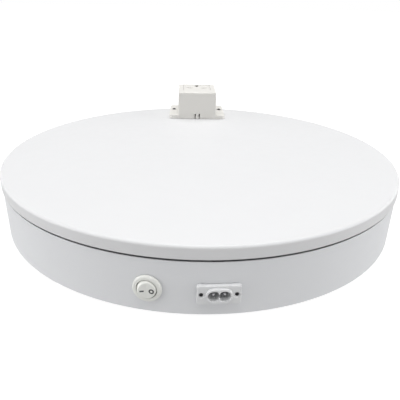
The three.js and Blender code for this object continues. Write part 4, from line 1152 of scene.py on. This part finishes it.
def slip_ring_carrier(radii):
    low, high = extent("slip_ring_carrier")
    bottom, top, groove_top = low.z, low.z + 2.7, low.z + 1.2
    under = [(HUB_RADIUS + 0.5, bottom, 0.2)]
    for radius in radii:
        for side, levels in ((-1, (bottom, groove_top)), (1, (groove_top, bottom))):
            under += [(radius + side * (RING_HALF + 0.3), z, 0.1) for z in levels]
    plate = lathe(rounded(under + [(50, bottom, 0.3), (50, top, 0.3), (HUB_RADIUS + 0.5, top, 0.3)]), 128)
    return join(plate, *around(lambda: cylinder(3, top - 0.5, high.z), STANDOFF_CIRCLE, GEAR_SCREW_ANGLES))


def slip_ring(radius, low, high):
    inner, outer = radius - RING_HALF, radius + RING_HALF
    corners = [(inner, low, 0.35), (outer, low, 0.35), (outer, high, 0.2), (inner, high, 0.2)]
    return lathe(rounded(corners), 128)


def from_cad(node, flat_faces=True):
    """A CAD node's own solid as a form, with whole flat faces where wanted."""
    bm = bmesh.new()
    bm.from_mesh(frame["nodes"][node].data)
    bm.transform(Matrix.Scale(1 / MM, 4))
    bmesh.ops.remove_doubles(bm, verts=bm.verts, dist=0.001)
    if flat_faces:
        bmesh.ops.dissolve_limit(bm, angle_limit=math.radians(1), verts=bm.verts, edges=bm.edges)
    return as_form(bm)


def smooth_tube(node):
    form = from_cad(node, flat_faces=False)
    modifier = form.modifiers.new("round", "SUBSURF")
    modifier.levels = 2
    return apply_modifiers(form)


ring_radii = {}
for pole in ("live", "neutral"):
    low, high = extent(f"slip_ring_{pole}")
    ring_radii[pole] = high.x - RING_HALF
    piece(f"contact_ring_{pole}", slip_ring(ring_radii[pole], low.z, high.z), f"slip_ring_{pole}")
piece("ring_carrier", slip_ring_carrier(ring_radii.values()), "slip_ring_carrier")

softened_nodes = {
    "brush_block": ("brush_holder", 0.5),
    "brush_finger_live": ("brush_strip_live", 0.1),
    "brush_finger_neutral": ("brush_strip_neutral", 0.1),
    "outlet_base": ("outlet_floor", 0.3),
    "outlet_contact_live": ("socket_clip_live", 0.12),
    "outlet_contact_neutral": ("socket_clip_neutral", 0.12),
    "outlet_contact_earth": ("socket_clip_earth", 0.12),
}
for node, (name, width) in softened_nodes.items():
    piece(name, soften(from_cad(node), width, 3, 30), node)

wires = {
    "wire_inlet_switch": "live_wire_inlet_to_switch",
    "wire_switch_brush": "live_wire_switch_to_brush",
    "wire_inlet_brush": "neutral_wire_inlet_to_brush",
    "motor_lead": "motor_cable",
    "outlet_lead": "outlet_cable",
}
for node, name in wires.items():
    piece(name, smooth_tube(node), node)


# ---- floor, light and camera


WHITE = (1, 1, 1, 1)


def camera_sees(tree, seen, otherwise, output):
    """Shows the camera one shader, while light bounces off the other."""
    choice = add_node(tree, "MixShader")
    tree.links.new(add_node(tree, "LightPath").outputs["Is Camera Ray"], choice.inputs["Fac"])
    tree.links.new(otherwise.outputs[0], choice.inputs[1])
    tree.links.new(seen.outputs[0], choice.inputs[2])
    tree.links.new(choice.outputs["Shader"], output.inputs["Surface"])


def make_floor(seen, bounced):
    """A wide pale floor that glows evenly like a light table. The object's shadow on it stays faint."""
    pale = (0.95, 0.95, 0.95)
    surface = Surface("pale_floor", scaled(pale, 0.3), 0.8, Specular_IOR_Level=0.0,
                      Emission_Color=WHITE, Emission_Strength=seen)
    surface.tint(surface.remap(surface.noise(300, 2), 0, 1), scaled(pale, 0.28))
    surface.bump(surface.noise(1.2, 2), 0.02, 0.3)
    glow = add_node(surface.tree, "Emission", Strength=bounced)
    camera_sees(surface.tree, surface.shader, glow, surface.tree.nodes["Material Output"])
    floor = lathe([(0, -20), (9000, -20), (9000, 0), (0, 0)], 128)
    floor.data.transform(Matrix.Scale(MM, 4))
    floor.name = "floor"
    floor.data.materials.append(surface.material)


def light_dome(overhead, sides, horizon, backdrop):
    """A dome of soft light: a broad source overhead, a weaker one to the left and right, and a faint
    even fill. The camera sees it as a plain pale backdrop."""
    world = bpy.data.worlds.new("light_dome")
    bpy.context.scene.world = world
    world.use_nodes = True
    tree = world.node_tree
    tree.nodes.clear()
    direction = add_node(tree, "SeparateXYZ")
    tree.links.new(add_node(tree, "TexCoord").outputs["Generated"], direction.inputs["Vector"])

    def source(value, start, end, strength):
        ramp = add_node(tree, "MapRange", From_Min=start, From_Max=end, To_Max=strength)
        ramp.interpolation_type = "SMOOTHSTEP"
        tree.links.new(value, ramp.inputs["Value"])
        return ramp.outputs["Result"]

    def maths(operation, first, second=0.0):
        node = add_node(tree, "Math")
        node.operation = operation
        for value, socket in ((first, node.inputs[0]), (second, node.inputs[1])):
            if isinstance(value, bpy.types.NodeSocket):
                tree.links.new(value, socket)
            else:
                socket.default_value = value
        return node.outputs[0]

    above = source(direction.outputs["Z"], 0.72, 1.0, overhead)
    beside = source(maths("ABSOLUTE", direction.outputs["X"]), 0.7, 1.0, sides)
    strength = maths("ADD", maths("ADD", above, beside), horizon)
    dome = add_node(tree, "Background", Color=WHITE)
    tree.links.new(strength, dome.inputs["Strength"])
    plain = add_node(tree, "Background", Color=WHITE, Strength=backdrop)
    camera_sees(tree, plain, dome, add_node(tree, "OutputWorld"))


def make_camera(distance, azimuth, height, heading, elevation, roll, lens):
    """A camera at a distance from the disc's axis. Azimuth and heading are from -Y, in degrees."""
    camera = bpy.data.objects.new("camera", bpy.data.cameras.new("camera"))
    camera.data.sensor_width = 36
    camera.data.lens = lens
    place = turn("Z", azimuth) @ shift(0, -distance, height)
    aim = turn("Z", heading) @ turn("X", 90 - elevation) @ turn("Z", roll)
    camera.matrix_world = Matrix.Translation(place.translation) @ aim
    bpy.context.scene.collection.objects.link(camera)
    bpy.context.scene.camera = camera


make_floor(seen=0.85, bounced=0.72)
light_dome(overhead=3.3, sides=3.3, horizon=0.32, backdrop=1.0)
bpy.context.scene.view_settings.view_transform = "Standard"
make_camera(distance=0.4781, azimuth=-4.4, height=0.2243, heading=-4.5, elevation=24.88, roll=1.32, lens=39.8)
